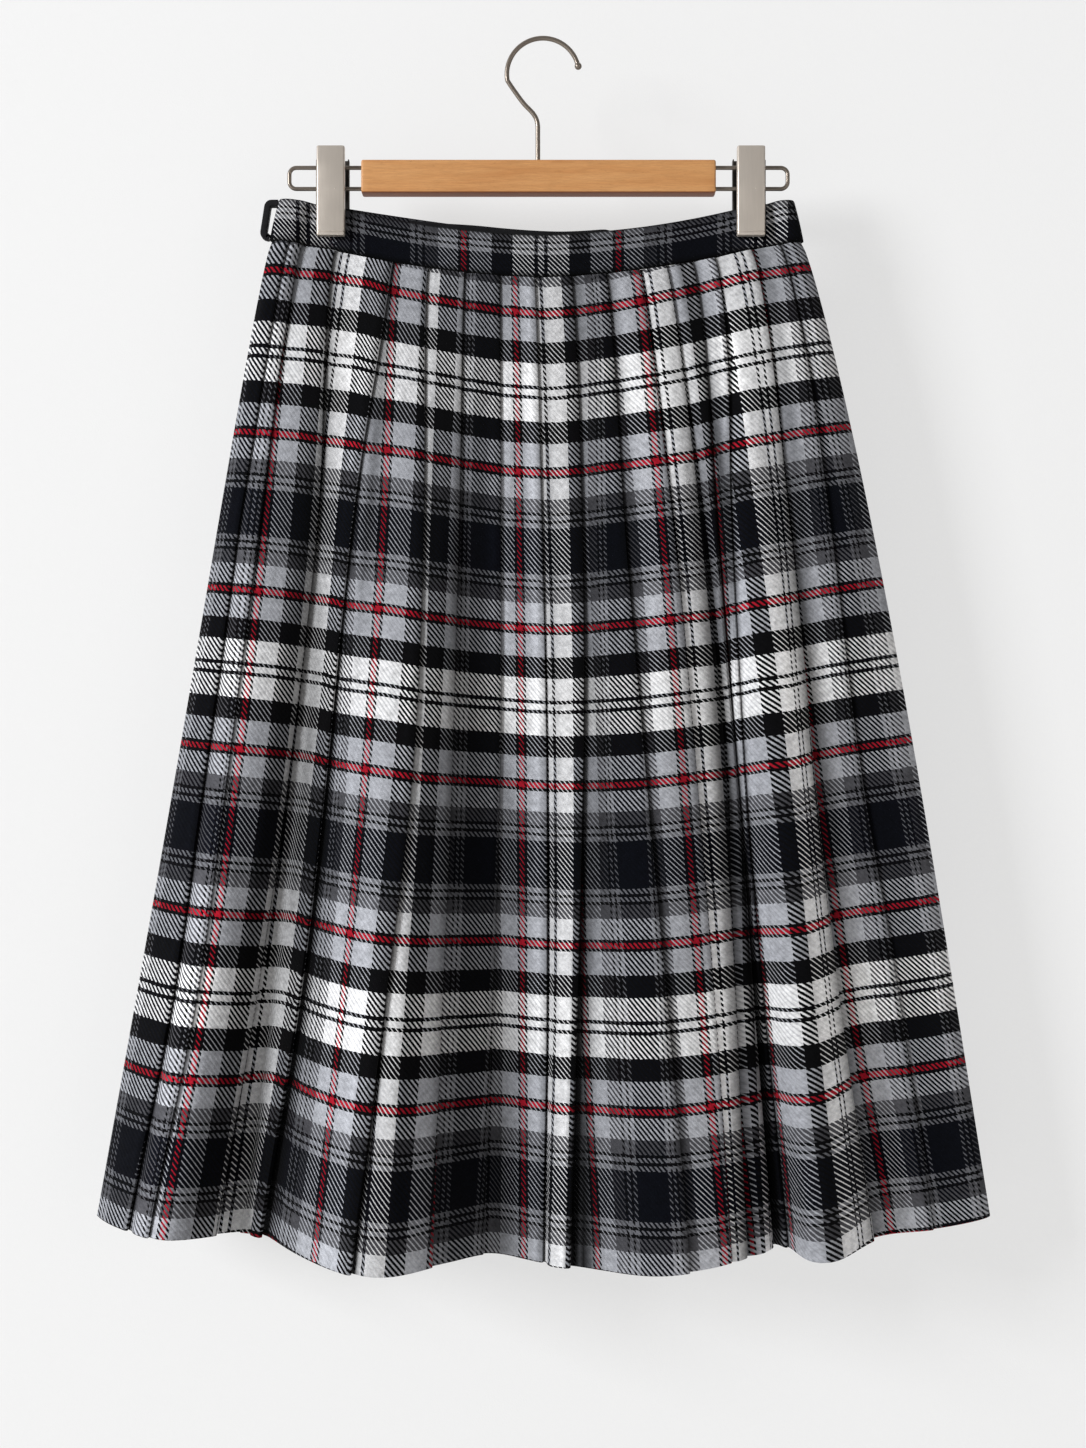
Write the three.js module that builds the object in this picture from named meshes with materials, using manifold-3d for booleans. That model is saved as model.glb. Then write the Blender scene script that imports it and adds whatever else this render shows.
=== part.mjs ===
// A pleated tartan kilt skirt that hangs by its waistband from a wood-and-wire clip hanger.
//
// Millimetres, +Z up. The front of the skirt faces -Y, and +X is to the right as one faces it.
// The origin is the inside top of the hook's crook, where the hanger is held.
//
// Every cloth piece is a wall. Its place across the skirt is a share of the skirt's half-width,
// from -1 at the left side seam to 1 at the right one, and its place down the skirt is a share
// of the drop, from 0 at the waist seam to 1 at the hem.

import * as THREE from 'three';
import { mergeVertices } from 'three/addons/utils/BufferGeometryUtils.js';
import Module from 'manifold-3d';

const wasm = await Module();
wasm.setup();

// ---------------------------------------------------------------- driving dimensions

const GAP = 0.3;                  // left between two pieces that are sewn together or that touch

// Skirt cloth
const CLOTH = 1.2;                // thickness of the wool cloth
const WAIST_CENTRE = -4.6;        // the waistband's middle lies a little left of the crook
const HEM_CENTRE = 0.4;
const SIDEWAYS_SWAY = 5;          // the skirt's middle sways this far to the right on the way down
const WAIST_HALF = 189.5;         // half the flat width at the waist seam
const HEM_HALF = 320.5;           // half the flat width at the hem
const HIP_SPRING = 6.8;           // how far the sides curve out past a straight line
const SEAM_LOW = -173;            // height of the waist seam in the middle of the front
const HEM_LOW = -868;             // height of the hem in the middle
const HEM_SIDE_RISE = 22;         // the hem is this much higher at the side seams
const UNDERLAP = 12;              // cloth hidden behind each pressed fold, at the most
const UNDERLAP_SHARE = 0.45;      // and no more than this share of the narrower pleat beside it
const FOLD_CLEAR = 1.6 * CLOTH;   // a pleat lies flat for this far beside the fold over it
const FOLD_GROWTH = 1.2;          // the folds open as this power of the way down
const TOP_STAND = 0.55;           // clear space between the layers of a fold at the waist
const LEVELS = [0, 0.08, 0.22, 0.38, 0.54, 0.7, 0.85, 1];

// How the front and the back stand away from the plane of the hanger
const FRONT_BULGE_TOP = 16;
const FRONT_BULGE_HEM = 45;
const BACK_BULGE_TOP = 10;
const BACK_BULGE_HEM = 26;
const DRAW_IN = 1 / 1400;         // share by which the front narrows for each mm it stands out

// Waistband
const BAND_HEIGHT = 30;
const BAND_THICK = 3;             // two layers of cloth and a stiffener
const BAND_FLARE = 7;             // each end of the band is this much further in at its top
const BAND_SAG = 22;              // how far the front band sags between the clips
const BACK_BAND_SAG = 16.5;
const BACK_SAG_SHIFT = 16;        // the back sags lowest to the right of the middle
const BAND_END_RISE = 22;         // rise beyond the clips, for each clip distance
const FRONT_MOUTH = 9;            // the front band stands this far out midway between the clips
const BACK_MOUTH = 4;
const BAND_END_ROLL = 5;          // how far the band's round ends stand out, front and back
const BAND_END_ROUND = 0.05;      // share of the half-width over which the ends turn round
const BAND_END_PLACES = [0.93, 0.955, 0.975, 0.99, 0.998, 1];
const BAND_STEPS = 20;            // steps across the band between the clips
const FACING = { thick: 1, height: 28, proud: 0.8, left: -0.5, right: 0.32 };

// Strap loop on the band's left end
const STRAP = {
  thick: 2.8,
  wide: 7,
  high: 27,
  drop: 2,                        // its top lies this far below the top of the band
  reach: 8.6,
  lean: 2.8,
  corner: 3.4,                    // radius of its outer corners
  tight: 0.8,                     // radius of its inner corners
};

// Hanger
const BAR = { length: 254.4, height: 23.5, depth: 14, ease: 1.5, x: -3.2, z: -99.3 };
const WIRE = 3;                   // diameter of the wire loops
const LOOP = { half: 180.9, rail: 7.6, corner: 5, seat: 9 };
const HOOK = { wire: 3.4, crook: 26, tip: 13, back: 190, seat: 10, ball: 2.6, x: -3.7 };
const CLIP = { x: -1.5, spread: 150.5, top: -78.4, height: 64.2, width: 20, sheet: 1 };
const PRESSED = CLIP.spread - CLIP.width / 2 - 2;
const RELEASED = CLIP.spread + CLIP.width / 2 + 8;
const ROLL_RUN = 12;              // the band opens over this distance beyond each clip
const PLATE_FACE = 10.5;          // the clip's faces lie this far before and behind its middle
const FLANGE = 5.5;               // depth of the folded edges of a clip plate
const LIP = 3;                    // height of the turned-in jaw at the foot of a clip plate
const REAR = { extra: 4, top: -84 };
const SADDLE = { width: 16, height: 22 };

// ---------------------------------------------------------------- pleats and large folds

// Each row is one pressed fold of the front, from left to right. The five places are where the
// fold's edge lies, in hundredths of the width from the left side seam: at the waist, a quarter
// of the way down, halfway, three quarters down and at the hem. Stand is the clear space
// between two layers of the fold at the hem.
const FRONT_FOLDS = [
  { name: 'left_roll', places: [2.9, 3.3, 3.8, 4.4, 3.6], stand: 0.9 },
  { name: 'left_side', places: [5.0, 6.1, 6.6, 7.0, 5.8], stand: 0.6 },
  { name: 'left_first', places: [11.6, 14.5, 14.6, 13.9, 12.6], stand: 1.8 },
  { name: 'left_groove', places: [22.7, 20.5, 20.5, 20.3, 19.1], stand: 3.2 },
  { name: 'left_swell', places: [29.3, 31.0, 31.5, 30.0, 28.7], stand: 1.6 },
  { name: 'left_inner', places: [36.2, 36.4, 36.6, 36.6, 37.0], stand: 0.6 },
  { name: 'middle_left', places: [42.9, 43.0, 43.4, 43.1, 42.9], stand: 0.5 },
  { name: 'middle', places: [49.5, 49.6, 50.0, 50.2, 50.1], stand: 0.5 },
  { name: 'middle_groove', places: [56.4, 55.9, 55.2, 54.1, 53.4], stand: 3.2 },
  { name: 'right_inner', places: [62.9, 62.4, 63.4, 64.9, 66.1], stand: 1.0 },
  { name: 'right_swell', places: [69.4, 69.7, 70.1, 70.5, 70.7], stand: 0.5 },
  { name: 'right_turn', places: [74.5, 74.0, 74.0, 73.0, 72.3], stand: 0.8 },
  { name: 'right_groove', places: [79.3, 77.0, 75.8, 74.9, 74.8], stand: 2.8 },
  { name: 'right_hidden', places: [83.6, 79.4, 77.4, 77.1, 77.7], stand: 0.6 },
  { name: 'right_first', places: [90.6, 87.8, 85.9, 85.5, 86.4], stand: 1.6 },
  { name: 'right_side', places: [96.3, 94.0, 92.5, 93.2, 93.6], stand: 0.5 },
];

// The back is pleated alike, and its folds are counted from the right side seam to the left.
const BACK_FOLDS = [
  { name: 'back_first', places: [9.2, 8.4, 7.6, 7.2, 6.9], stand: 0.8 },
  { name: 'back_second', places: [15.4, 14.8, 14.2, 14.4, 14.0], stand: 1.2 },
  { name: 'back_third', places: [20.6, 20.9, 21.1, 21.0, 20.7], stand: 1.6 },
  { name: 'back_fourth', places: [27.9, 27.8, 27.9, 28.1, 28.4], stand: 0.8 },
  { name: 'back_fifth', places: [34.6, 34.8, 35.2, 35.3, 35.1], stand: 1.4 },
  { name: 'back_sixth', places: [41.8, 42.1, 42.2, 41.9, 41.5], stand: 0.7 },
  { name: 'back_middle', places: [49.3, 49.2, 49.0, 49.3, 49.8], stand: 1.1 },
  { name: 'back_eighth', places: [56.5, 56.3, 56.4, 56.8, 57.3], stand: 0.8 },
  { name: 'back_ninth', places: [63.4, 63.7, 64.2, 64.3, 64.0], stand: 1.6 },
  { name: 'back_tenth', places: [70.8, 71.0, 71.1, 70.8, 70.3], stand: 0.9 },
  { name: 'back_eleventh', places: [78.1, 77.8, 77.6, 77.8, 78.3], stand: 1.3 },
  { name: 'back_twelfth', places: [85.0, 84.9, 85.2, 85.6, 85.9], stand: 0.8 },
  { name: 'back_last', places: [92.6, 92.4, 92.3, 92.6, 93.0], stand: 0.7 },
];

// The largest folds hang open toward the hem. Each swell or hollow has its place across the
// skirt, its spread, and how far it stands out at the hem.
const FRONT_SWELLS = [
  { name: 'left_edge_roll', at: -0.87, spread: 0.075, out: 24 },
  { name: 'left_hollow', at: -0.66, spread: 0.08, out: -36 },
  { name: 'left_swell', at: -0.39, spread: 0.14, out: 53 },
  { name: 'middle_hollow', at: -0.11, spread: 0.1, out: -26 },
  { name: 'right_swell', at: 0.28, spread: 0.17, out: 39 },
  { name: 'right_hollow', at: 0.52, spread: 0.055, out: -27 },
  { name: 'right_roll', at: 0.63, spread: 0.07, out: 43 },
  { name: 'right_edge_hollow', at: 0.78, spread: 0.07, out: -8 },
];
const BACK_SWELLS = [
  { name: 'back_right_swell', at: 0.62, spread: 0.12, out: 12 },
  { name: 'back_right_hollow', at: 0.34, spread: 0.1, out: -10 },
  { name: 'back_middle_swell', at: 0.04, spread: 0.14, out: 13 },
  { name: 'back_left_hollow', at: -0.3, spread: 0.11, out: -10 },
  { name: 'back_left_swell', at: -0.6, spread: 0.13, out: 12 },
];
const SWELL_GROWTH = 1.2;         // the swells grow as this power of the way down

// Places along the strip beyond the last fold, closer together where it rounds the side seam.
const LAST_STRIP = [0.5, 0.8, 0.93, 1];

// A pleat rises from the cloth under it to the top of its own fold: how high it is, as a share
// of the full rise, at two places between its foot and the start of the underlap.
const PLEAT_RISE = [
  { place: 0.35, share: 0.55 },
  { place: 0.7, share: 0.9 },
];

// ---------------------------------------------------------------- small helpers

const clamp = (value) => Math.min(1, Math.max(0, value));
const mix = (a, b, t) => a + (b - a) * t;

function smoothStep(from, to, value) {
  const t = clamp((value - from) / (to - from));
  return t * t * (3 - 2 * t);
}

// A smooth curve through evenly spaced values, at a place from 0 to 1.
function along(values, t) {
  const place = clamp(t) * (values.length - 1);
  const i = Math.min(values.length - 2, Math.floor(place));
  const f = place - i;
  const slopeAt = (k) => {
    const before = values[Math.max(0, k - 1)];
    const after = values[Math.min(values.length - 1, k + 1)];
    return (after - before) / 2;
  };
  const rise = values[i + 1] - values[i];
  const start = slopeAt(i);
  const end = slopeAt(i + 1);
  const bend = (3 * rise - 2 * start - end) * f * f;
  const turn = (start + end - 2 * rise) * f * f * f;
  return values[i] + start * f + bend + turn;
}

function material(colour, roughness, metalness = 0) {
  return new THREE.MeshStandardMaterial({ color: colour, roughness, metalness });
}

// Closed wall between an outer and an inner skin, each given as rows of points from top to
// bottom. Sideways[i] is false where the cloth runs back under itself, so that neighbouring
// layers are split along the same diagonals.
function wallGeometry(rows, sideways) {
  const count = rows[0].outer.length;
  const positions = [];
  for (const row of rows) {
    for (const skin of [row.outer, row.inner]) {
      for (const point of skin) positions.push(point.x, point.y, point.z);
    }
  }
  const outerAt = (row, i) => row * 2 * count + i;
  const innerAt = (row, i) => row * 2 * count + count + i;
  const faces = [];
  const quad = (a, b, c, d) => faces.push(a, b, c, a, c, d);
  for (let row = 0; row + 1 < rows.length; row += 1) {
    for (let i = 0; i + 1 < count; i += 1) {
      const outer = [outerAt(row, i), outerAt(row + 1, i)];
      outer.push(outerAt(row + 1, i + 1), outerAt(row, i + 1));
      const inner = [innerAt(row, i), innerAt(row, i + 1)];
      inner.push(innerAt(row + 1, i + 1), innerAt(row + 1, i));
      if (sideways[i]) {
        quad(...outer);
        quad(...inner);
      } else {
        quad(outer[1], outer[2], outer[3], outer[0]);
        quad(inner[1], inner[2], inner[3], inner[0]);
      }
    }
    quad(outerAt(row, 0), innerAt(row, 0), innerAt(row + 1, 0), outerAt(row + 1, 0));
    const last = count - 1;
    quad(outerAt(row, last), outerAt(row + 1, last), innerAt(row + 1, last), innerAt(row, last));
  }
  const foot = rows.length - 1;
  for (let i = 0; i + 1 < count; i += 1) {
    quad(outerAt(0, i), outerAt(0, i + 1), innerAt(0, i + 1), innerAt(0, i));
    quad(outerAt(foot, i), innerAt(foot, i), innerAt(foot, i + 1), outerAt(foot, i + 1));
  }
  const geometry = new THREE.BufferGeometry();
  geometry.setAttribute('position', new THREE.Float32BufferAttribute(positions, 3));
  geometry.setIndex(faces);
  return facingOut(geometry);
}

// Turns every face round where the closed surface encloses a negative volume.
function facingOut(geometry) {
  const place = geometry.getAttribute('position');
  const index = geometry.getIndex().array;
  const [a, b, c] = [new THREE.Vector3(), new THREE.Vector3(), new THREE.Vector3()];
  let volume = 0;
  for (let i = 0; i < index.length; i += 3) {
    a.fromBufferAttribute(place, index[i]);
    b.fromBufferAttribute(place, index[i + 1]);
    c.fromBufferAttribute(place, index[i + 2]);
    volume += a.dot(b.cross(c));
  }
  if (volume < 0) {
    for (let i = 0; i < index.length; i += 3) {
      [index[i + 1], index[i + 2]] = [index[i + 2], index[i + 1]];
    }
  }
  geometry.computeVertexNormals();
  return geometry;
}

function toSolid(geometry) {
  const bare = geometry.clone();
  bare.deleteAttribute('normal');
  bare.deleteAttribute('uv');
  const merged = mergeVertices(bare, 1e-4);
  const vertProperties = new Float32Array(merged.getAttribute('position').array);
  const triVerts = new Uint32Array(merged.getIndex().array);
  return new wasm.Manifold(new wasm.Mesh({ numProp: 3, vertProperties, triVerts }));
}

function fromSolid(solid) {
  const mesh = solid.getMesh();
  const geometry = new THREE.BufferGeometry();
  const positions = new THREE.Float32BufferAttribute(mesh.vertProperties, 3);
  geometry.setAttribute('position', positions);
  geometry.setIndex(new THREE.Uint32BufferAttribute(mesh.triVerts, 1));
  geometry.computeVertexNormals();
  return geometry;
}

// Round wire along a path of points; the two ends are flat.
function wireGeometry(points, diameter, steps) {
  const section = new THREE.Shape();
  section.absarc(0, 0, diameter / 2, 0, Math.PI * 2);
  const path = new THREE.CatmullRomCurve3(points, false, 'centripetal');
  const options = { extrudePath: path, steps, curveSegments: 5, bevelEnabled: false };
  return new THREE.ExtrudeGeometry(section, options);
}

// Points of a quarter circle or a longer arc in the hanger's plane, angles in degrees.
function arcPoints(x, z, radius, from, to, count) {
  const points = [];
  for (let i = 0; i <= count; i += 1) {
    const angle = THREE.MathUtils.degToRad(mix(from, to, i / count));
    points.push(new THREE.Vector3(x + radius * Math.cos(angle), 0, z + radius * Math.sin(angle)));
  }
  return points;
}

// ---------------------------------------------------------------- the skirt's form

function halfWidth(down) {
  return mix(WAIST_HALF, HEM_HALF, down) + HIP_SPRING * Math.sin(Math.PI * down ** 0.55);
}

function centre(down) {
  return mix(WAIST_CENTRE, HEM_CENTRE, down) + SIDEWAYS_SWAY * Math.sin(Math.PI * down ** 0.8);
}

// Distance to the right of the middle of the two clips, along the waist seam.
function fromClips(across) {
  return WAIST_CENTRE + across * WAIST_HALF - CLIP.x;
}

// Height of the waist seam at a place across, for the front or for the back.
function seamHeight(across, isFront) {
  const sag = isFront ? BAND_SAG : BACK_BAND_SAG;
  const shift = isFront ? 0 : BACK_SAG_SHIFT * (1 - across * across);
  const reach = Math.abs(fromClips(across) - shift) / CLIP.spread;
  const rise = sag * Math.min(1, reach) ** 1.6;
  const beyond = BAND_END_RISE * Math.max(0, reach - 1);
  return SEAM_LOW + BAND_SAG - sag + rise + beyond;
}

function hemHeight(across) {
  return HEM_LOW + HEM_SIDE_RISE * Math.abs(across) ** 1.6;
}

// Distance of the inner face from the hanger's plane at the waistband: wide in the middle,
// pressed together at the clips, and rolled round at the two ends.
function mouth(across, isFront) {
  const open = isFront ? FRONT_MOUTH : BACK_MOUTH;
  const away = Math.abs(fromClips(across));
  const pull = Math.min(1, away / PRESSED) * (Math.PI / 2);
  const middle = open * Math.cos(pull) ** 2;
  const roll = BAND_END_ROLL * smoothStep(RELEASED, RELEASED + ROLL_RUN, away);
  const past = clamp(1 - (1 - Math.abs(across)) / BAND_END_ROUND);
  const turn = Math.sqrt(1 - past ** 2);
  return GAP / 2 + middle + roll * turn;
}

// The same distance anywhere on the skirt.
function depth(across, down, isFront) {
  const top = isFront ? FRONT_BULGE_TOP : BACK_BULGE_TOP;
  const hem = isFront ? FRONT_BULGE_HEM : BACK_BULGE_HEM;
  const swells = isFront ? FRONT_SWELLS : BACK_SWELLS;
  const round = Math.sqrt(Math.max(0, 1 - across * across));
  let out = mix(top, hem, down) * round;
  for (const swell of swells) {
    const away = (across - swell.at) / swell.spread;
    out += swell.out * Math.exp(-away * away) * down ** SWELL_GROWTH * smoothStep(0, 0.2, round);
  }
  const free = smoothStep(0, 0.22, down);
  return mix(mouth(across, isFront), GAP / 2 + Math.max(0, out), free);
}

// A point of the cloth: across and down the skirt, and so far out from its inner face.
function skirtPoint(across, down, lift, isFront) {
  const flat = (place) => {
    const out = depth(place, down, isFront);
    const narrow = isFront ? 1 - out * DRAW_IN : 1;
    const x = centre(down) + place * halfWidth(down) * narrow;
    return new THREE.Vector2(x, isFront ? -out : out);
  };
  return pushedOut(flat, across, lift, isFront, (place) => {
    const top = seamHeight(place, isFront) - GAP;
    return mix(top, hemHeight(place), down);
  });
}

function bandPoint(across, rise, lift, isFront) {
  const share = rise / BAND_HEIGHT;
  const flat = (place) => {
    const out = mouth(place, isFront);
    const x = WAIST_CENTRE + place * (WAIST_HALF - BAND_FLARE * share);
    return new THREE.Vector2(x, isFront ? -out : out);
  };
  return pushedOut(flat, across, lift, isFront, (place) => seamHeight(place, isFront) + rise);
}

// Moves a point of a level outline outward along the outline's own normal.
function pushedOut(flat, across, lift, isFront, height) {
  const nudge = 0.0015;
  const before = flat(Math.max(-1, across - nudge));
  const after = flat(Math.min(1, across + nudge));
  const run = after.sub(before).normalize();
  if (Math.abs(across) > 0.9995) run.set(0, isFront === across < 0 ? -1 : 1);
  const outward = isFront ? new THREE.Vector2(run.y, -run.x) : new THREE.Vector2(-run.y, run.x);
  const place = flat(across).addScaledVector(outward, lift);
  return new THREE.Vector3(place.x, place.y, height(across));
}

// ---------------------------------------------------------------- pleated panels

// The run of the cloth's middle across one level of a panel: how far along the panel it is, in
// mm, and how far it is lifted off the panel's inner face. At each fold it runs out over the
// fold, back under it, and on as the next pleat.
function pleatRun(folds, down) {
  const width = 2 * halfWidth(down);
  const half = CLOTH / 2;
  const run = [{ along: 0, lift: half, sideways: true }];
  const add = (place, lift, sideways) => run.push({ along: place, lift: lift + half, sideways });
  const edges = folds.map((fold) => (along(fold.places, down) / 100) * width);
  let start = 0;
  folds.forEach((fold, i) => {
    const edge = edges[i];
    const next = i + 1 < edges.length ? edges[i + 1] : width;
    const room = UNDERLAP_SHARE * Math.min(edge - start, next - edge);
    const under = Math.min(UNDERLAP, room);
    const layer = CLOTH + mix(TOP_STAND, Math.max(TOP_STAND, fold.stand), down ** FOLD_GROWTH);
    const foot = start + Math.min(FOLD_CLEAR, (edge - under - start) / 4);
    if (i > 0) add(start, 0, true);
    add(foot, 0, true);
    for (const rise of PLEAT_RISE) {
      add(mix(foot, edge - under, rise.place), 2 * layer * rise.share, true);
    }
    add(edge - under, 2 * layer, true);
    add(edge, 2 * layer, true);
    add(edge, layer, false);
    add(edge - under, layer, true);
    add(edge - under, 0, true);
    start = edge;
  });
  add(start, 0, true);
  add(start + FOLD_CLEAR, 0, true);
  for (const share of LAST_STRIP) add(mix(start, width, share), 0, true);
  return run;
}

// Both skins of the run, half the cloth's thickness to either side of its middle.
function bothSkins(run) {
  const half = CLOTH / 2;
  return run.map((point, i) => {
    const before = run[Math.max(0, i - 1)];
    const after = run[Math.min(run.length - 1, i + 1)];
    const first = new THREE.Vector2(point.along - before.along, point.lift - before.lift);
    const second = new THREE.Vector2(after.along - point.along, after.lift - point.lift);
    if (i === 0) first.copy(second);
    if (i === run.length - 1) second.copy(first);
    first.normalize();
    second.normalize();
    const left = new THREE.Vector2(-first.y - second.y, first.x + second.x).normalize();
    const reach = half / Math.max(0.5, -left.x * first.y + left.y * first.x);
    return {
      outer: [point.along + left.x * reach, point.lift + left.y * reach],
      inner: [point.along - left.x * reach, point.lift - left.y * reach],
    };
  });
}

// A pleated panel. The front runs from the left seam to the right, the back from right to left.
function pleatedPanel(folds, isFront) {
  let sideways = [];
  const rows = LEVELS.map((down) => {
    const width = 2 * halfWidth(down);
    const run = pleatRun(folds, down);
    sideways = run.map((point, i) => i + 1 >= run.length || run[i + 1].along >= point.along);
    const place = ([distance, lift]) => {
      const share = (2 * distance) / width - 1;
      return skirtPoint(isFront ? share : -share, down, Math.max(0, lift), isFront);
    };
    const skins = bothSkins(run);
    return { outer: skins.map((s) => place(s.outer)), inner: skins.map((s) => place(s.inner)) };
  });
  return wallGeometry(rows, sideways);
}

// ---------------------------------------------------------------- waistband and its trim

// Places across a band: even between the clips, at and beside each clip, and closer together
// where the ends roll round.
function bandPlaces(from, to) {
  const shareAt = (distance) => (CLIP.x + distance - WAIST_CENTRE) / WAIST_HALF;
  const places = [];
  for (let i = 0; i <= BAND_STEPS; i += 1) {
    places.push(shareAt(mix(-PRESSED, PRESSED, i / BAND_STEPS)));
  }
  for (const distance of [CLIP.spread, RELEASED]) {
    places.push(shareAt(distance));
    places.unshift(shareAt(-distance));
  }
  for (const end of BAND_END_PLACES) {
    places.push(end);
    places.unshift(-end);
  }
  return places.filter((place) => place >= from && place <= to);
}

function bandGeometry(isFront) {
  const places = bandPlaces(-1, 1);
  const rows = [BAND_HEIGHT, BAND_HEIGHT / 2, 0].map((rise) => ({
    outer: places.map((place) => bandPoint(place, rise, BAND_THICK, isFront)),
    inner: places.map((place) => bandPoint(place, rise, 0, isFront)),
  }));
  return wallGeometry(rows, places.map(() => true));
}

// The strip that covers the inside of the back band and shows above the front band.
function facingGeometry() {
  const places = bandPlaces(FACING.left, FACING.right);
  const top = BAND_HEIGHT + FACING.proud;
  const rows = [top, top - FACING.height].map((rise) => ({
    outer: places.map((place) => bandPoint(place, rise, -GAP, false)),
    inner: places.map((place) => bandPoint(place, rise, -GAP - FACING.thick, false)),
  }));
  return wallGeometry(rows, places.map(() => true));
}

// Flat strap bent into a loop, with both ends against the band's slanting left end.
function strapLoop() {
  const bandEnd = (rise) => {
    const point = bandPoint(-1, rise, BAND_THICK, true);
    return { x: point.x - GAP, z: point.z };
  };
  const topRise = BAND_HEIGHT - STRAP.drop;
  const footRise = topRise - STRAP.high;
  const top = bandEnd(topRise);
  const topInner = bandEnd(topRise - STRAP.thick);
  const footInner = bandEnd(footRise + STRAP.thick);
  const foot = bandEnd(footRise);
  const outTop = { x: top.x - STRAP.reach, z: top.z };
  const outFoot = { x: top.x - STRAP.reach - STRAP.lean, z: foot.z };
  const inTop = { x: outTop.x + STRAP.thick, z: topInner.z };
  const inFoot = { x: outFoot.x + STRAP.thick, z: footInner.z };
  const shape = new THREE.Shape();
  shape.moveTo(top.x, top.z);
  shape.lineTo(outTop.x + STRAP.corner, outTop.z);
  shape.quadraticCurveTo(outTop.x, outTop.z, outTop.x, outTop.z - STRAP.corner);
  shape.lineTo(outFoot.x, outFoot.z + STRAP.corner);
  shape.quadraticCurveTo(outFoot.x, outFoot.z, outFoot.x + STRAP.corner, outFoot.z);
  shape.lineTo(foot.x, foot.z);
  shape.lineTo(footInner.x, footInner.z);
  shape.lineTo(inFoot.x + STRAP.tight, inFoot.z);
  shape.quadraticCurveTo(inFoot.x, inFoot.z, inFoot.x, inFoot.z + STRAP.tight);
  shape.lineTo(inTop.x, inTop.z - STRAP.tight);
  shape.quadraticCurveTo(inTop.x, inTop.z, inTop.x + STRAP.tight, inTop.z);
  shape.lineTo(topInner.x, topInner.z);
  shape.closePath();
  const options = { depth: STRAP.wide, curveSegments: 4, bevelEnabled: false };
  const geometry = new THREE.ExtrudeGeometry(shape, options);
  geometry.rotateX(Math.PI / 2);
  geometry.translate(0, STRAP.wide / 2, 0);
  return geometry;
}

// ---------------------------------------------------------------- hanger

function hookPoints() {
  const crook = arcPoints(0, HOOK.wire / 2 - HOOK.crook, HOOK.crook, HOOK.tip, HOOK.back, 12);
  const shank = [
    [-19.4, -38],
    [-13.5, -45.8],
    [-6.8, -53],
    [-4, -59.5],
    [HOOK.x, -70],
    [HOOK.x, BAR.z + BAR.height / 2 - HOOK.seat],
  ];
  return [...crook, ...shank.map(([x, z]) => new THREE.Vector3(x, 0, z))];
}

function hookGeometry() {
  const points = hookPoints();
  const ball = new THREE.SphereGeometry(HOOK.ball, 14, 10);
  ball.translate(points[0].x, 0, points[0].z);
  return fromSolid(toSolid(wireGeometry(points, HOOK.wire, 56)).add(toSolid(ball)));
}

// One side's wire: two rails that leave the bar's end and join in a square bend.
function loopPoints(side) {
  const barEnd = BAR.length / 2 - LOOP.seat;
  const turn = LOOP.half - WIRE / 2 - LOOP.corner;
  const topTurn = arcPoints(turn, LOOP.rail - LOOP.corner, LOOP.corner, 90, 0, 4);
  const footTurn = arcPoints(turn, LOOP.corner - LOOP.rail, LOOP.corner, 0, -90, 4);
  const points = [
    new THREE.Vector3(barEnd, 0, LOOP.rail),
    new THREE.Vector3(mix(barEnd, turn, 0.5), 0, LOOP.rail),
    ...topTurn,
    ...footTurn,
    new THREE.Vector3(mix(barEnd, turn, 0.5), 0, -LOOP.rail),
    new THREE.Vector3(barEnd, 0, -LOOP.rail),
  ];
  return points.map((p) => new THREE.Vector3(BAR.x + side * p.x, 0, BAR.z + p.z));
}

function boreAlongX(radius, fromX, toX, z) {
  const bore = new THREE.CylinderGeometry(radius, radius, Math.abs(toX - fromX), 20);
  bore.rotateZ(Math.PI / 2);
  bore.translate((fromX + toX) / 2, 0, z);
  return toSolid(bore);
}

// Wood bar with eased edges, bored for the hook and for the four wire ends.
function barGeometry() {
  const { length, height, depth: deep, ease } = BAR;
  const face = new THREE.Shape();
  const w = length / 2 - ease;
  const h = height / 2 - ease;
  face.moveTo(-w, -h);
  face.lineTo(w, -h);
  face.lineTo(w, h);
  face.lineTo(-w, h);
  face.closePath();
  const options = { depth: deep - 2 * ease, bevelThickness: ease, bevelSize: ease };
  const blank = new THREE.ExtrudeGeometry(face, { ...options, bevelSegments: 2 });
  blank.translate(0, 0, ease - deep / 2);
  blank.rotateX(Math.PI / 2);
  blank.translate(BAR.x, 0, BAR.z);
  let bar = toSolid(blank);
  for (const side of [-1, 1]) {
    for (const rail of [-LOOP.rail, LOOP.rail]) {
      const inner = BAR.x + side * (length / 2 - LOOP.seat - GAP);
      const outer = BAR.x + side * (length / 2 + 1);
      bar = bar.subtract(boreAlongX(WIRE / 2 + GAP, inner, outer, BAR.z + rail));
    }
  }
  const bore = new THREE.CylinderGeometry(HOOK.wire / 2 + GAP, HOOK.wire / 2 + GAP, 20, 20);
  bore.rotateX(Math.PI / 2);
  bore.translate(HOOK.x, 0, BAR.z + height / 2 - HOOK.seat - GAP + 10);
  return fromSolid(bar.subtract(toSolid(bore)));
}

// ---------------------------------------------------------------- clips

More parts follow.
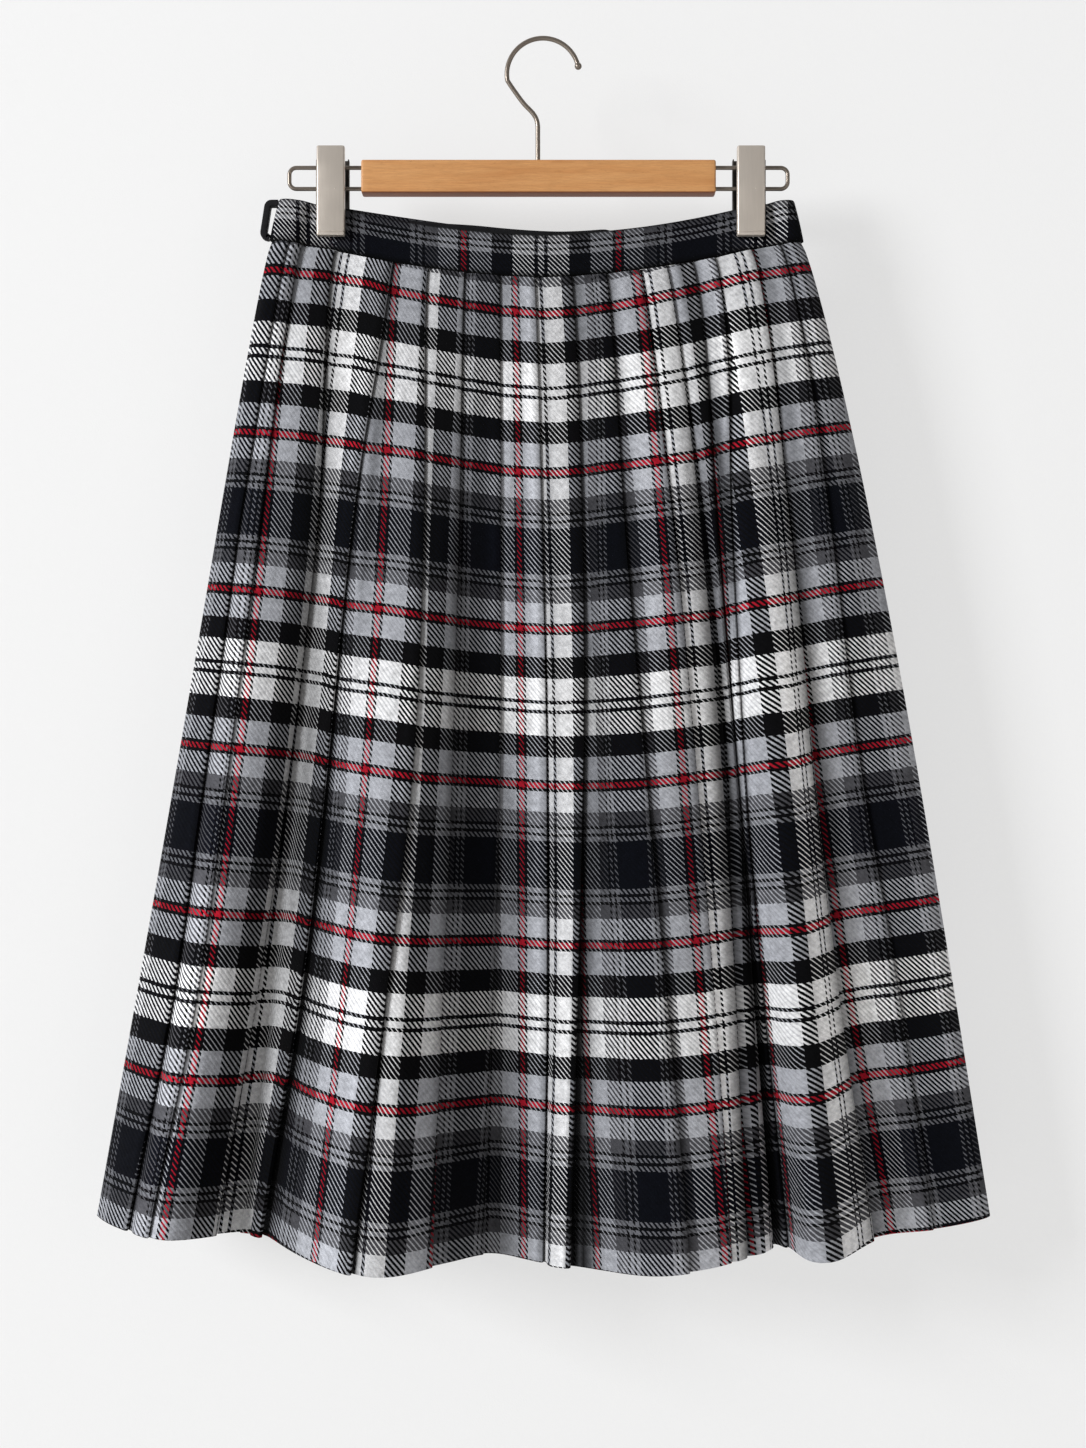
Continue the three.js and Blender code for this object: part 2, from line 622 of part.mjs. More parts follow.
// Channel of folded sheet: a flat face, two side flanges and a turned-in jaw at its foot.
function clipPlate(width, top, foot, jawDepth) {
  const sheet = CLIP.sheet;
  const height = top - foot;
  const box = (w, d, h, x, y, z) => {
    const block = new THREE.BoxGeometry(w, d, h);
    block.translate(x, y, z);
    return toSolid(block);
  };
  const middle = (top + foot) / 2;
  let plate = box(width, sheet, height, 0, -PLATE_FACE + sheet / 2, middle);
  for (const side of [-1, 1]) {
    const x = side * (width / 2 - sheet / 2);
    plate = plate.add(box(sheet, FLANGE, height, x, -PLATE_FACE + FLANGE / 2, middle));
  }
  const jaw = PLATE_FACE - jawDepth;
  return plate.add(box(width, jaw, LIP, 0, -PLATE_FACE + jaw / 2, foot + LIP / 2));
}

// Block that rides on the two rails and keeps the plates apart.
function saddleGeometry() {
  const deep = 2 * (PLATE_FACE - CLIP.sheet - GAP);
  const shape = new THREE.Shape();
  shape.moveTo(-deep / 2, -SADDLE.height / 2);
  shape.lineTo(deep / 2, -SADDLE.height / 2);
  shape.lineTo(deep / 2, SADDLE.height / 2);
  shape.lineTo(-deep / 2, SADDLE.height / 2);
  shape.closePath();
  const slot = new THREE.Path();
  const radius = WIRE / 2 + GAP;
  slot.absarc(0, LOOP.rail, radius, 0, Math.PI);
  slot.absarc(0, -LOOP.rail, radius, Math.PI, Math.PI * 2);
  slot.closePath();
  shape.holes.push(slot);
  const options = { depth: SADDLE.width, curveSegments: 8, bevelEnabled: false };
  const geometry = new THREE.ExtrudeGeometry(shape, options);
  geometry.translate(0, 0, -SADDLE.width / 2);
  geometry.rotateY(Math.PI / 2);
  geometry.rotateX(Math.PI / 2);
  return geometry;
}

// ---------------------------------------------------------------- the whole object

const WOOL = material(0x55575c, 0.95);
const BLACK_TRIM = material(0x121316, 0.85);
const BEECH = material(0xc08a50, 0.5);
const STEEL = material(0x6d655d, 0.35, 1);
const NICKEL = material(0xc9c0b5, 0.38, 1);
const DARK_STEEL = material(0x3a3735, 0.45, 1);

const object = new THREE.Group();

function place(name, geometry, finish) {
  const mesh = new THREE.Mesh(geometry, finish);
  mesh.name = name;
  object.add(mesh);
  return mesh;
}

place('skirt_front', pleatedPanel(FRONT_FOLDS, true), WOOL);
place('skirt_back', pleatedPanel(BACK_FOLDS, false), WOOL);
place('waistband_front', bandGeometry(true), WOOL);
place('waistband_back', bandGeometry(false), WOOL);
place('back_facing', facingGeometry(), BLACK_TRIM);
place('strap_loop', strapLoop(), BLACK_TRIM);

place('hanger_bar', barGeometry(), BEECH);
place('hook', hookGeometry(), STEEL);
place('wire_loop_left', wireGeometry(loopPoints(-1), WIRE, 40), STEEL);
place('wire_loop_right', wireGeometry(loopPoints(1), WIRE, 40), STEEL);

const clipFoot = CLIP.top - CLIP.height;
const jawFace = GAP / 2 + BAND_THICK + GAP;
for (const [side, word] of [[-1, 'left'], [1, 'right']]) {
  const x = CLIP.x + side * CLIP.spread;
  const front = clipPlate(CLIP.width, CLIP.top, clipFoot, jawFace);
  place(`clip_${word}_front`, fromSolid(front), NICKEL).position.x = x;
  const rear = clipPlate(CLIP.width + REAR.extra, REAR.top, clipFoot, jawFace);
  const rearMesh = place(`clip_${word}_rear`, fromSolid(rear), DARK_STEEL);
  rearMesh.position.x = x;
  rearMesh.rotation.z = Math.PI;
  place(`clip_${word}_saddle`, saddleGeometry(), DARK_STEEL).position.set(x, 0, BAR.z);
}

export default object;
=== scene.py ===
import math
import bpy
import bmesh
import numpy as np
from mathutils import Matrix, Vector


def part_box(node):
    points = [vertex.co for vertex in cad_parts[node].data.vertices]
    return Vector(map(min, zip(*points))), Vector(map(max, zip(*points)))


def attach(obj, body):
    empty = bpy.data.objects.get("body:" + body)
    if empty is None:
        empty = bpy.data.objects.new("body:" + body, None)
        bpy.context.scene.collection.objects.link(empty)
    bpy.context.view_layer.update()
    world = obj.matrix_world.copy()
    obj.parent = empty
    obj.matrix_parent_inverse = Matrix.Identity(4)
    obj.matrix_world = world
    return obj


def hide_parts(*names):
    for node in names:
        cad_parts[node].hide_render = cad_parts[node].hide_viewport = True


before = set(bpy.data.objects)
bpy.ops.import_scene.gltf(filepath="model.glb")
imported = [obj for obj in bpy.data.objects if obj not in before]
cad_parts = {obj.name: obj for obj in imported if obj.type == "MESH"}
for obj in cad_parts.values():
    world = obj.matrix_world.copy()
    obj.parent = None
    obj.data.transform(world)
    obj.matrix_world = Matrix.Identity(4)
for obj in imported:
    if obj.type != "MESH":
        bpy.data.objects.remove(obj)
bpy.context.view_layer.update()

# A pleated tartan kilt skirt that hangs by its waistband from a wood-and-wire clip hanger.
#
# Lengths are in millimetres until a mesh is made, +Z up, and the front faces -Y. The cloth
# repeats the forms of the CAD solids: a place across the skirt is a share of its half-width,
# from -1 at the left side seam to 1 at the right one, and a place down it is a share of the
# drop, from 0 at the waist seam to 1 at the hem.

MM = 0.001


def table(columns, *rows):
    """Rows of a table as dictionaries, with each row's values under the columns' names."""
    return [dict(zip(columns.split(), row)) for row in rows]


def box_mm(node):
    low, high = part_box(node)
    return np.array(low) / MM, np.array(high) / MM


# ---------------------------------------------------------------- driving dimensions

GAP = 0.3                  # left between two pieces that are sewn together or that touch

CLOTH = 1.2                # thickness of the solid's wall
SHEET = 1.0                # thickness of the woven cloth inside it
WAIST_CENTRE = -4.6
HEM_CENTRE = 0.4
SIDEWAYS_SWAY = 5
SWAY_POWER = 0.8           # under 1 it lies higher than halfway down
WAIST_HALF = 189.5
HEM_HALF = 320.5
HIP_SPRING = 6.8
HIP_POWER = 0.55           # likewise for the hips
SEAM_LOW = -173
HEM_LOW = -868
DROP = SEAM_LOW - HEM_LOW
HEM_SIDE_RISE = 22
EDGE_POWER = 1.6           # bend of the hem and of the waist seam
UNDERLAP = 12
UNDERLAP_SHARE = 0.45
FOLD_CLEAR = 1.6 * CLOTH
FOLD_GROWTH = 1.2
TOP_STAND = 0.12

FRONT_BULGE_TOP = 16
FRONT_BULGE_HEM = 45
BACK_BULGE_TOP = 10
BACK_BULGE_HEM = 26
SIDE_STIFF = 0.2           # share of the bulge up to which the swells die out at the sides
WAIST_STIFF = 0.22         # share of the drop over which the cloth leaves the band's outline
DRAW_IN = 1 / 1400         # how much narrower the front is drawn for each mm it stands out
NUDGE = 0.0015             # step across, for the slope of an outline

BAND_HEIGHT = 30
BAND_THICK = 3
BAND_FLARE = 7
BAND_SAG = 22
BACK_BAND_SAG = 16.5
BACK_SAG_SHIFT = 16
BAND_END_RISE = 22
FRONT_MOUTH = 9
BACK_MOUTH = 4
BAND_END_ROLL = 5
BAND_END_ROUND = 0.05
BAND_EDGE = {"foot": 0.15, "back": 0.1, "round": 1.1, "crown": 0.35}
FACING = {
    "thick": 1, "height": 28, "proud": 0.8, "left": -0.5, "right": 0.32, "round": 0.4,
    "sink": 2.6, "sinks_left": 0.3, "sinks_right": 0.06,
}
STRAP = {
    "thick": 4.8, "wide": 7, "high": 29, "drop": 0.4, "reach": 10, "lean": 2.8, "corner": 5.4,
}

CLIP_X = -1.5
CLIP_SPREAD = 150.5
CLIP_WIDTH = 20
PRESSED = CLIP_SPREAD - CLIP_WIDTH / 2 - 2
RELEASED = CLIP_SPREAD + CLIP_WIDTH / 2 + 8
ROLL_RUN = 12
WIRE = 3
HOOK = {"wire": 3.4, "crook": 26, "tip": 13, "back": 190, "ball": 2.6, "x": -3.7}
LOOP = {"half": 180.9, "rail": 7.6, "corner": 5, "seat": 9}
BAR = {"round": 1.3, "end": 1.4, "plain": 20}

# One unit of the sett, in mm of cloth, and its half repeat in units.
UNIT = 0.72
HALF_SETT = 161
STRIP_APART = 400          # units between the weaves of two strips, so that none repeats
SETTS_DOWN = 6.208         # half setts between the waist seam and the hem
SETT_AT_SEAM = -0.733      # place of the waist seam in half setts, from a white centre

# ---------------------------------------------------------------- pleats and large folds

# Each row is one pressed fold of the front, from left to right: where its edge lies, in
# hundredths of the width from the left side seam, at the waist, a quarter of the way down,
# halfway, three quarters down and at the hem; the clear space between two layers at the hem;
# and how far, in mm, the shade painted beside its edge reaches on the cloth it lies on, at even
# steps from the waist to the hem.
FRONT_FOLDS = table(
    "name places stand shade",
    ("left_roll", [2.9, 3.3, 3.8, 4.4, 3.6], 0.9, [0.3, 0.7, 1.4]),
    ("left_side", [5.0, 6.1, 6.6, 7.0, 5.8], 0.6, [3.6, 1.4, 1.0]),
    ("left_first", [11.6, 14.5, 14.6, 13.9, 12.6], 1.8, [4.4, 3.6, 2.8]),
    ("left_groove", [22.7, 20.5, 20.5, 20.3, 19.1], 3.2, [1.8, 3.8, 5.2]),
    ("left_swell", [29.3, 31.0, 31.5, 30.0, 28.7], 1.6, [2.2, 1.4, 3.0]),
    ("left_inner", [36.2, 36.4, 36.6, 36.6, 37.0], 0.6, [2.6, 1.8, 2.2]),
    ("middle_left", [42.9, 43.0, 43.4, 43.1, 42.9], 0.5, [1.6, 0.9, 1.2]),
    ("middle", [49.5, 49.6, 50.0, 50.2, 50.1], 0.5, [1.6, 1.4, 1.4]),
    ("middle_groove", [56.4, 55.9, 55.2, 54.1, 53.4], 3.2, [3.6, 5.0, 10.0]),
    ("right_inner", [62.9, 62.4, 63.4, 64.9, 66.1], 1.0, [4.6, 4.0, 3.0]),
    ("right_swell", [69.4, 69.7, 70.1, 70.5, 70.7], 0.5, [1.2, 1.0, 1.2]),
    ("right_turn", [74.5, 74.0, 74.0, 73.0, 72.3], 0.8, [1.2, 1.4, 0.9]),
    ("right_groove", [79.3, 77.0, 75.8, 74.9, 74.8], 2.8, [3.6, 2.0, 5.0, 30.0, 60.0]),
    ("right_hidden", [83.6, 79.4, 77.4, 77.1, 77.7], 0.6, [3.2, 2.0, 1.0]),
    ("right_first", [90.6, 87.8, 85.9, 85.5, 86.4], 1.6, [2.6, 3.4, 5.0]),
    ("right_side", [96.3, 94.0, 92.5, 93.2, 93.6], 0.5, [3.2, 2.8, 1.2]),
)

# How far the shade painted beside the edges of the back's folds reaches, in mm.
BACK_PAINTED_SHADE = [2.0, 2.4, 3.0]    # the same for every fold of the back

# Where a fold turns away into a deep groove, the painted shade begins this far, in mm, before its
# edge.
FRONT_TURN_PAINTED_SHADE = {
    "middle_groove": [0, 0, 3],
    "right_groove": [0, 2.5, 2.5],
}

# Painted light and shade of the large folds, which turn toward the light or away from it,
# and open or close to the room: where each such roll or hollow lies at the five levels, in
# hundredths of the width as seen straight from the front, how far it reaches to either side,
# and the share of light painted out of the colour there. A roll painted lighter has a negative
# share.
FRONT_PAINTED_LIGHT = table(
    "name places reach loses",
    ("edge_roll", [4.6, 4.4, 6.2, 6.6, 5.5], 1.9, [-0.2, -0.4, -0.7, -1.3, -0.7]),
    ("left_tuck", [12.6, 13.6, 13.2, 12.8, 12.6], 1.1, [0, 0.7, 0.55, 0.35, -0.15]),
    ("left_well", [15, 15.8, 17.2, 17.4, 17], 2, [-0.1, 0.15, 0.65, 0.45, 0.1]),
    ("left_rise", [18.6, 20.2, 21.6, 24, 25], 2.3, [-0.25, -0.6, -0.35, -0.2, -0.3]),
    ("groove_lee", [23, 22.6, 22.2, 21.5, 20.6], 1.3, [0.55, 0.6, 0.2, 0.15, 0.05]),
    ("swell_rise", [27, 27, 27, 27, 26.6], 1, [0, 0, -0.15, -0.35, -0.2]),
    ("swell_crest", [29, 30, 30.8, 31, 31], 0.9, [0.1, 0, -0.45, -0.15, 0.15]),
    ("swell_lee", [31.4, 32.3, 32.9, 33, 33], 1, [0.15, 0.45, 0.25, 0.35, 0.1]),
    ("swell_side", [33.5, 34, 34.5, 34.4, 34.6], 2.4, [0.12, 0.15, 0.12, -0.2, -0.8]),
    ("hollow", [40, 39, 39, 39.6, 40], 2.8, [0.25, 0.33, 0.3, 0.22, 0.3]),
    ("hollow_floor", [43.8, 42.5, 44.6, 46.6, 46], 1.4, [0.25, -0.85, 0.2, 0.25, 0.05]),
    ("middle_lip", [48.7, 48.7, 49.2, 49.4, 49.3], 1, [-0.75, -0.95, -0.45, -0.35, 0]),
    ("middle_face", [52.6, 52.6, 52.4, 52.2, 52], 0.9, [0, 0, -0.05, -0.35, -0.4]),
    ("middle_lee", [50.8, 50.8, 51, 51, 51], 1.1, [0.3, 0.35, 0.25, 0.25, 0.1]),
    ("middle_tuck", [55.5, 55.2, 57.2, 54.6, 54.6], 1.2, [0, 0.2, 0.3, 0.6, 0.98]),
    ("groove_side", [57.5, 58, 58, 58.5, 60], 2.4, [0.35, 0.2, 0.2, 0.1, 0]),
    ("right_rise", [65.5, 66.8, 66, 67, 67], 2.1, [-0.3, -0.7, -0.35, -0.25, -0.95]),
    ("right_lip", [70, 70.5, 71, 70.8, 70.6], 1.7, [-0.1, -0.2, -0.35, -0.95, -1]),
    ("roll_lee", [73, 74, 74, 73.4, 73], 0.9, [0, 0.3, 0.55, 0.4, 0.5]),
    ("roll_nook", [75, 75, 75, 75, 75], 0.9, [0, 0, 0, 0, -1.4]),
    ("deep_groove", [75.5, 75.2, 74.6, 75.8, 75.8], 1, [-0.2, 0.35, 0.45, 0.4, -0.2]),
    ("hip_tuck", [77.2, 78.4, 75, 75.8, 75.8], 1.4, [0.45, 0.8, 0, 0, 0]),
    ("roll_face", [84, 79.8, 77.2, 78, 79.5], 1.3, [0, -0.75, -0.4, -0.2, 0]),
    ("roll_crest", [82.6, 83.6, 84.5, 84.5, 84.8], 1.6, [-0.75, -0.6, -1, -0.75, -0.75]),
    ("side_tuck", [92.4, 89.8, 87, 86.8, 87.4], 1.3, [0.45, 0.4, 0.42, 0.32, 0.05]),
    ("side_rise", [93.5, 93.6, 90, 90, 91.4], 2.6, [-0.1, -0.4, -0.35, -0.95, -1.15]),
    ("right_edge", [98.5, 98.5, 98.5, 98.5, 98.5], 2.6, [0, -0.1, -0.5, -0.65, -0.6]),
)
# Painted light: how much of the yarns' own lightness a plain face keeps, and how much a face painted
# as turned to the light may have.
PLAIN_PAINTED_LIGHT = 0.68      # share of the yarns' own lightness that a plain face keeps
MOST_PAINTED_LIGHT = 1.3           # and the most that a face turned to the light may have

# Soft creases: where each lies (share of the half-width, share of the drop), how far it leans
# from upright in degrees, and its length, width and height in mm.
FRONT_CREASES = table(
    "at down lean long wide high",
    (-0.93, 0.3, 3, 120, 9, 1.4),
    (-0.8, 0.62, -4, 170, 15, -1.8),
    (-0.68, 0.24, 6, 90, 11, 1.3),
    (-0.5, 0.5, -3, 200, 20, 2.2),
    (-0.42, 0.86, 5, 110, 14, -1.6),
    (-0.33, 0.3, 2, 130, 12, 1.7),
    (-0.2, 0.42, -2, 210, 19, -3.2),
    (-0.08, 0.7, 7, 100, 10, 1.1),
    (0.03, 0.28, -5, 85, 13, -1.2),
    (0.13, 0.55, 3, 160, 16, 1.9),
    (0.24, 0.88, -6, 95, 12, -1.3),
    (0.36, 0.33, 4, 140, 18, 1.6),
    (0.44, 0.64, -2, 120, 10, -1.1),
    (0.66, 0.46, 3, 180, 17, 1.8),
    (0.79, 0.8, -5, 130, 13, -1.5),
    (0.91, 0.34, 2, 100, 9, 1.2),
)
BACK_CREASES = table(
    "at down lean long wide high",
    (-0.85, 0.4, -3, 150, 12, 1.5),
    (-0.63, 0.7, 5, 120, 16, -1.7),
    (-0.44, 0.3, -6, 95, 11, 1.2),
    (-0.22, 0.56, 2, 190, 18, -2.1),
    (-0.05, 0.84, -4, 110, 13, 1.4),
    (0.16, 0.36, 4, 140, 15, 1.6),
    (0.37, 0.66, -2, 170, 17, -1.9),
    (0.55, 0.26, 6, 90, 10, 1.1),
    (0.74, 0.52, -5, 130, 14, 1.7),
    (0.88, 0.8, 3, 100, 10, -1.2),
)

# The back is pleated alike, and its folds are counted from the right side seam to the left.
BACK_FOLDS = table(
    "name places stand",
    ("back_first", [9.2, 8.4, 7.6, 7.2, 6.9], 0.8),
    ("back_second", [15.4, 14.8, 14.2, 14.4, 14.0], 1.2),
    ("back_third", [20.6, 20.9, 21.1, 21.0, 20.7], 1.6),
    ("back_fourth", [27.9, 27.8, 27.9, 28.1, 28.4], 0.8),
    ("back_fifth", [34.6, 34.8, 35.2, 35.3, 35.1], 1.4),
    ("back_sixth", [41.8, 42.1, 42.2, 41.9, 41.5], 0.7),
    ("back_middle", [49.3, 49.2, 49.0, 49.3, 49.8], 1.1),
    ("back_eighth", [56.5, 56.3, 56.4, 56.8, 57.3], 0.8),
    ("back_ninth", [63.4, 63.7, 64.2, 64.3, 64.0], 1.6),
    ("back_tenth", [70.8, 71.0, 71.1, 70.8, 70.3], 0.9),
    ("back_eleventh", [78.1, 77.8, 77.6, 77.8, 78.3], 1.3),
    ("back_twelfth", [85.0, 84.9, 85.2, 85.6, 85.9], 0.8),
    ("back_last", [92.6, 92.4, 92.3, 92.6, 93.0], 0.7),
)

# The largest folds hang open toward the hem: place across, spread, and how far out at the hem.
FRONT_SWELLS = table(
    "name at spread out",
    ("left_edge_roll", -0.87, 0.075, 24),
    ("left_hollow", -0.66, 0.08, -36),
    ("left_swell", -0.39, 0.14, 53),
    ("middle_hollow", -0.11, 0.1, -26),
    ("right_swell", 0.28, 0.17, 39),
    ("right_hollow", 0.52, 0.055, -27),
    ("right_roll", 0.63, 0.07, 43),
    ("right_edge_hollow", 0.78, 0.07, -8),
)
BACK_SWELLS = table(
    "name at spread out",
    ("back_right_swell", 0.62, 0.12, 12),
    ("back_right_hollow", 0.34, 0.1, -10),
    ("back_middle_swell", 0.04, 0.14, 13),
    ("back_left_hollow", -0.3, 0.11, -10),
    ("back_left_swell", -0.6, 0.13, 12),
)
SWELL_GROWTH = 1.2

# ---------------------------------------------------------------- the sett

# Half of the mirrored sett, from the middle of the white block to the middle of the navy one.
# Each row is where a stripe ends, in units, and its yarn.
SETT = table(
    "to yarn",
    (2.8, "white"),
    (6.6, "black"),
    (29, "white"),
    (51.5, "black"),
    (74.8, "grey"),
    (77.4, "black"),
    (83.6, "red"),
    (86.2, "black"),
    (107.5, "grey"),
    (121, "charcoal"),
    (124, "black"),
    (128.6, "ash"),
    (132, "black"),
    (136.6, "ash"),
    (161, "navy"),
)
YARNS = {
    "white": (226, 226, 227),
    "black": (7, 7, 9),
    "grey": (163, 165, 171),
    "red": (154, 22, 38),
    "charcoal": (72, 72, 76),
    "ash": (100, 101, 106),
    "navy": (7, 9, 16),
}

# Where the lengthwise stripes lie on each strip of the front between two folds, counted from
# the left side seam. Unit is the place in the sett, and the five places are in hundredths of the
# width as seen straight from the front.
FRONT_STRIPES = table(
    "strip unit places",
    (0, 123.4, [-1.5, 0.1, 0.1, 0.05, 0.1]),
    (0, 137, [-0.6, 1, 0.7, 0.6, 0.7]),
    (0, 185, [3.9, 3.9, 3.9, 4.4, 2.7]),
    (1, 107.5, [2, 2.4, 3.4, 4, 3.4]),
    (1, 122, [3.9, 4.1, 5.7, 6, 4.9]),
    (1, 134.2, [5.3, 5.6, 6.5, 6.8, 5.7]),
    (2, 241.5, [4.5, 6.75, 7.85, 8.1, 7.1]),
    (2, 270.5, [8.6, 10.65, 11.5, 11.3, 10.35]),
    (3, 5, [14.4, 14.6, 15, 15.1, 14.6]),
    (3, 29, [17.55, 17.5, 18, 17.85, 16.95]),
    (3, 51.5, [23, 20.9, 20.8, 20.5, 19.5]),
    (4, 189.2, [18, 18.4, 21.15, 21.2, 20.5]),
    (4, 214.5, [20.5, 20.9, 22.5, 22.9, 22.1]),
    (4, 241.5, [23.4, 24.9, 25.1, 24.7, 24.2]),
    (4, 270.5, [28.6, 29.2, 28.95, 27.7, 26.7]),
    (5, 5, [28.6, 29.2, 30.2, 29.85, 29.6]),
    (5, 29, [31.7, 32.1, 32.7, 32.35, 32]),
    (5, 51.5, [35.3, 35.1, 35.1, 34.85, 34.35]),
    (6, 107.5, [35.8, 35.8, 36.4, 36.8, 36.8]),
    (6, 137, [38.5, 38.45, 38.9, 39.15, 39.15]),
    (6, 185, [43.3, 43.3, 43.4, 42.9, 42.1]),
    (7, 214.5, [42.6, 42.9, 43.2, 44.6, 45.1]),
    (7, 241.5, [45.85, 46, 46.55, 47.1, 47.8]),
    (7, 270.5, [50, 49.9, 50.05, 50.1, 50.05]),
    (8, 5, [50.7, 50.75, 51.1, 51.1, 50.6]),
    (8, 29, [54.6, 53.9, 53.6, 53.15, 52.4]),
    (8, 51.5, [57.3, 56.8, 55.9, 54.8, 53.9]),
    (9, 80.5, [55.6, 54.2, 54.2, 54.75, 56.05]),
    (9, 107.5, [59, 56.9, 57, 57.1, 58.3]),
    (9, 137, [61.7, 59.7, 58.9, 60.2, 61]),
    (9, 185, [66, 64, 63.3, 63.75, 64.7]),
    (10, 214.5, [63.4, 64.5, 65.1, 66.3, 67.6]),
    (10, 241.5, [68.8, 68.3, 68.7, 69.35, 70.5]),
    (11, -5, [69.85, 70.05, 70.3, 70.8, 71.1]),
    (11, 5, [71.2, 71.4, 71.5, 71.85, 71.9]),
    (11, 29, [74.8, 74.2, 73.95, 73.5, 73.3]),
    (12, 241.5, [73.4, 73.3, 73.4, 72.6, 73.55]),
    (12, 244.6, [73.9, 73.9, 73.9, 72.95, 73.8]),
    (12, 247.2, [74.7, 75.1, 75, 73.2, 74]),
    (12, 270.5, [77.1, 76.1, 76.4, 74.5, 74.5]),
    (13, 80.5, [77, 77.2, 74.9, 71, 70]),
    (13, 107.5, [82.5, 80.5, 78, 73.8, 73.6]),
    (13, 137, [86, 83.5, 81, 75.2, 75.2]),
    (13, 185, [91, 88, 86, 79, 79]),
    (14, 238, [76.5, 76.8, 76.1, 77.1, 77.9]),
    (14, 247, [77.6, 77.5, 76.6, 77.5, 78.3]),
    (14, 270.5, [80.9, 79.95, 80.4, 81.4, 82]),
    (14, 293, [84, 82.95, 83.15, 83.25, 83.8]),
    (14, 317, [87.6, 86.15, 85.15, 84.95, 85.6]),
    (14, 327, [88.9, 87, 85.5, 85.3, 86]),
    (15, 80.5, [90.7, 87.35, 86.65, 87.4, 89.1]),
    (15, 107.5, [94.9, 91.6, 90.3, 90.4, 92]),
    (15, 137, [98.5, 94.4, 93.1, 93.7, 94.9]),
    (16, 137, [94, 92.6, 92.4, 93.7, 94.9]),
    (16, 185, [95.8, 96.3, 96.6, 97.9, 98.4]),
    (16, 198.6, [98.5, 97.6, 97.9, 98.9, 99.5]),
)

# How far the crosswise stripes ride up on the front, in units, at places across it: at the
# waist, a quarter of the way down, halfway, three quarters down and at the hem.
FRONT_WEFT_LIFTS = table(
    "across places",
    (-1.0, [8, 3, 7, 1.5, -1.5]),
    (-0.75, [11, 4, 8, 1, -2]),
    (-0.62, [12, 5.5, 9, 6.5, 4]),
    (-0.58, [10, 3.5, 5.5, 2.5, 0.5]),
    (-0.45, [7.5, 3, 4, 1, -2]),
    (-0.35, [6, 0, 1, 1, -3]),
    (-0.15, [2, -3, 1, 0.5, -1.5]),
    (0.05, [0, -5.5, -1.5, 0, -1]),
    (0.25, [3, -3, -2, -0.5, -2]),
    (0.48, [8.5, -1, 0.5, -1.5, -7]),
    (0.54, [9, 1, 1.5, -3.5, -7]),
    (0.69, [11.5, 5.5, 4.5, 2, -0.5]),
    (0.73, [12, 5.5, 7.5, 5, 2]),
    (1.0, [11, 9.5, 11, 6, 1]),
)

# Place in the sett at the start of each strip of the back, from its right side seam.
BACK_STARTS = [104, 208, 284, 348, 92, 150, 226, 298, 40, 128, 196, 262, 330, 60]

# ---------------------------------------------------------------- small helpers


def mix(a, b, t):
    return a + (b - a) * t


def clamp(value):
    return np.clip(value, 0.0, 1.0)


def smooth_step(low, high, value):
    t = clamp((value - low) / (high - low))
    return t * t * (3 - 2 * t)


def through(values, t):
    """A smooth curve through evenly spaced values, at places from 0 to 1."""
    values = np.asarray(values, dtype=float)
    last = len(values) - 1
    place = clamp(t) * last
    i = np.minimum(last - 1, np.floor(place).astype(int))
    f = place - i
    slopes = np.array([
        (values[min(last, k + 1)] - values[max(0, k - 1)]) / 2 for k in range(last + 1)
    ])
    rise = values[i + 1] - values[i]
    start = slopes[i]
    end = slopes[i + 1]
    bend = (3 * rise - 2 * start - end) * f * f
    turn = (start + end - 2 * rise) * f * f * f
    return values[i] + start * f + bend + turn


def direction(x, y):
    size = np.maximum(1e-6, np.hypot(x, y))
    return x / size, y / size


def add_mesh(name, vertices, faces, sharp):
    """A smooth-shaded mesh object from points in millimetres, with creases past an angle."""
    mesh = bpy.data.meshes.new(name)
    mesh.from_pydata(np.asarray(vertices) * MM, [], faces)
    mesh.update()
    work = bmesh.new()
    work.from_mesh(mesh)
    bmesh.ops.recalc_face_normals(work, faces=work.faces)
    work.to_mesh(mesh)
    work.free()
    mesh.polygons.foreach_set("use_smooth", [True] * len(mesh.polygons))
    mesh.set_sharp_from_angle(angle=math.radians(sharp))
    piece = bpy.data.objects.new(name, mesh)
    bpy.context.scene.collection.objects.link(piece)
    return piece


def add_values(piece, name, values):
    layer = piece.data.attributes.new(name, "FLOAT", "POINT")
    layer.data.foreach_set("value", np.asarray(values, dtype=np.float32).ravel())


def ring_faces(rows, count):
    """Faces of rows of closed rings of points, and the two caps."""
    faces = []
    for row in range(rows - 1):
        here = row * count
        there = here + count
        for i in range(count):
            j = (i + 1) % count
            faces.append((here + i, here + j, there + j, there + i))
    faces.append(tuple(range(count - 1, -1, -1)))
    faces.append(tuple(range((rows - 1) * count, rows * count)))
    return faces


def skin_of(rings):
    """Points and faces of a closed form from its rings."""
    rings = np.asarray(rings)
    return rings.reshape(-1, 3), ring_faces(*rings.shape[:2])


def add_rings(name, rings, sharp):
    return add_mesh(name, *skin_of(rings), sharp)


def finish_piece(piece, material, nodes):
    piece.data.materials.append(material)
    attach(piece, "root")
    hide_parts(*nodes)
    return piece


# ---------------------------------------------------------------- the skirt's form


def half_width(down):
    return mix(WAIST_HALF, HEM_HALF, down) + HIP_SPRING * np.sin(np.pi * down ** HIP_POWER)


def centre(down):
    return mix(WAIST_CENTRE, HEM_CENTRE, down) + SIDEWAYS_SWAY * np.sin(np.pi * down ** SWAY_POWER)


def from_clips(across):
    return WAIST_CENTRE + across * WAIST_HALF - CLIP_X


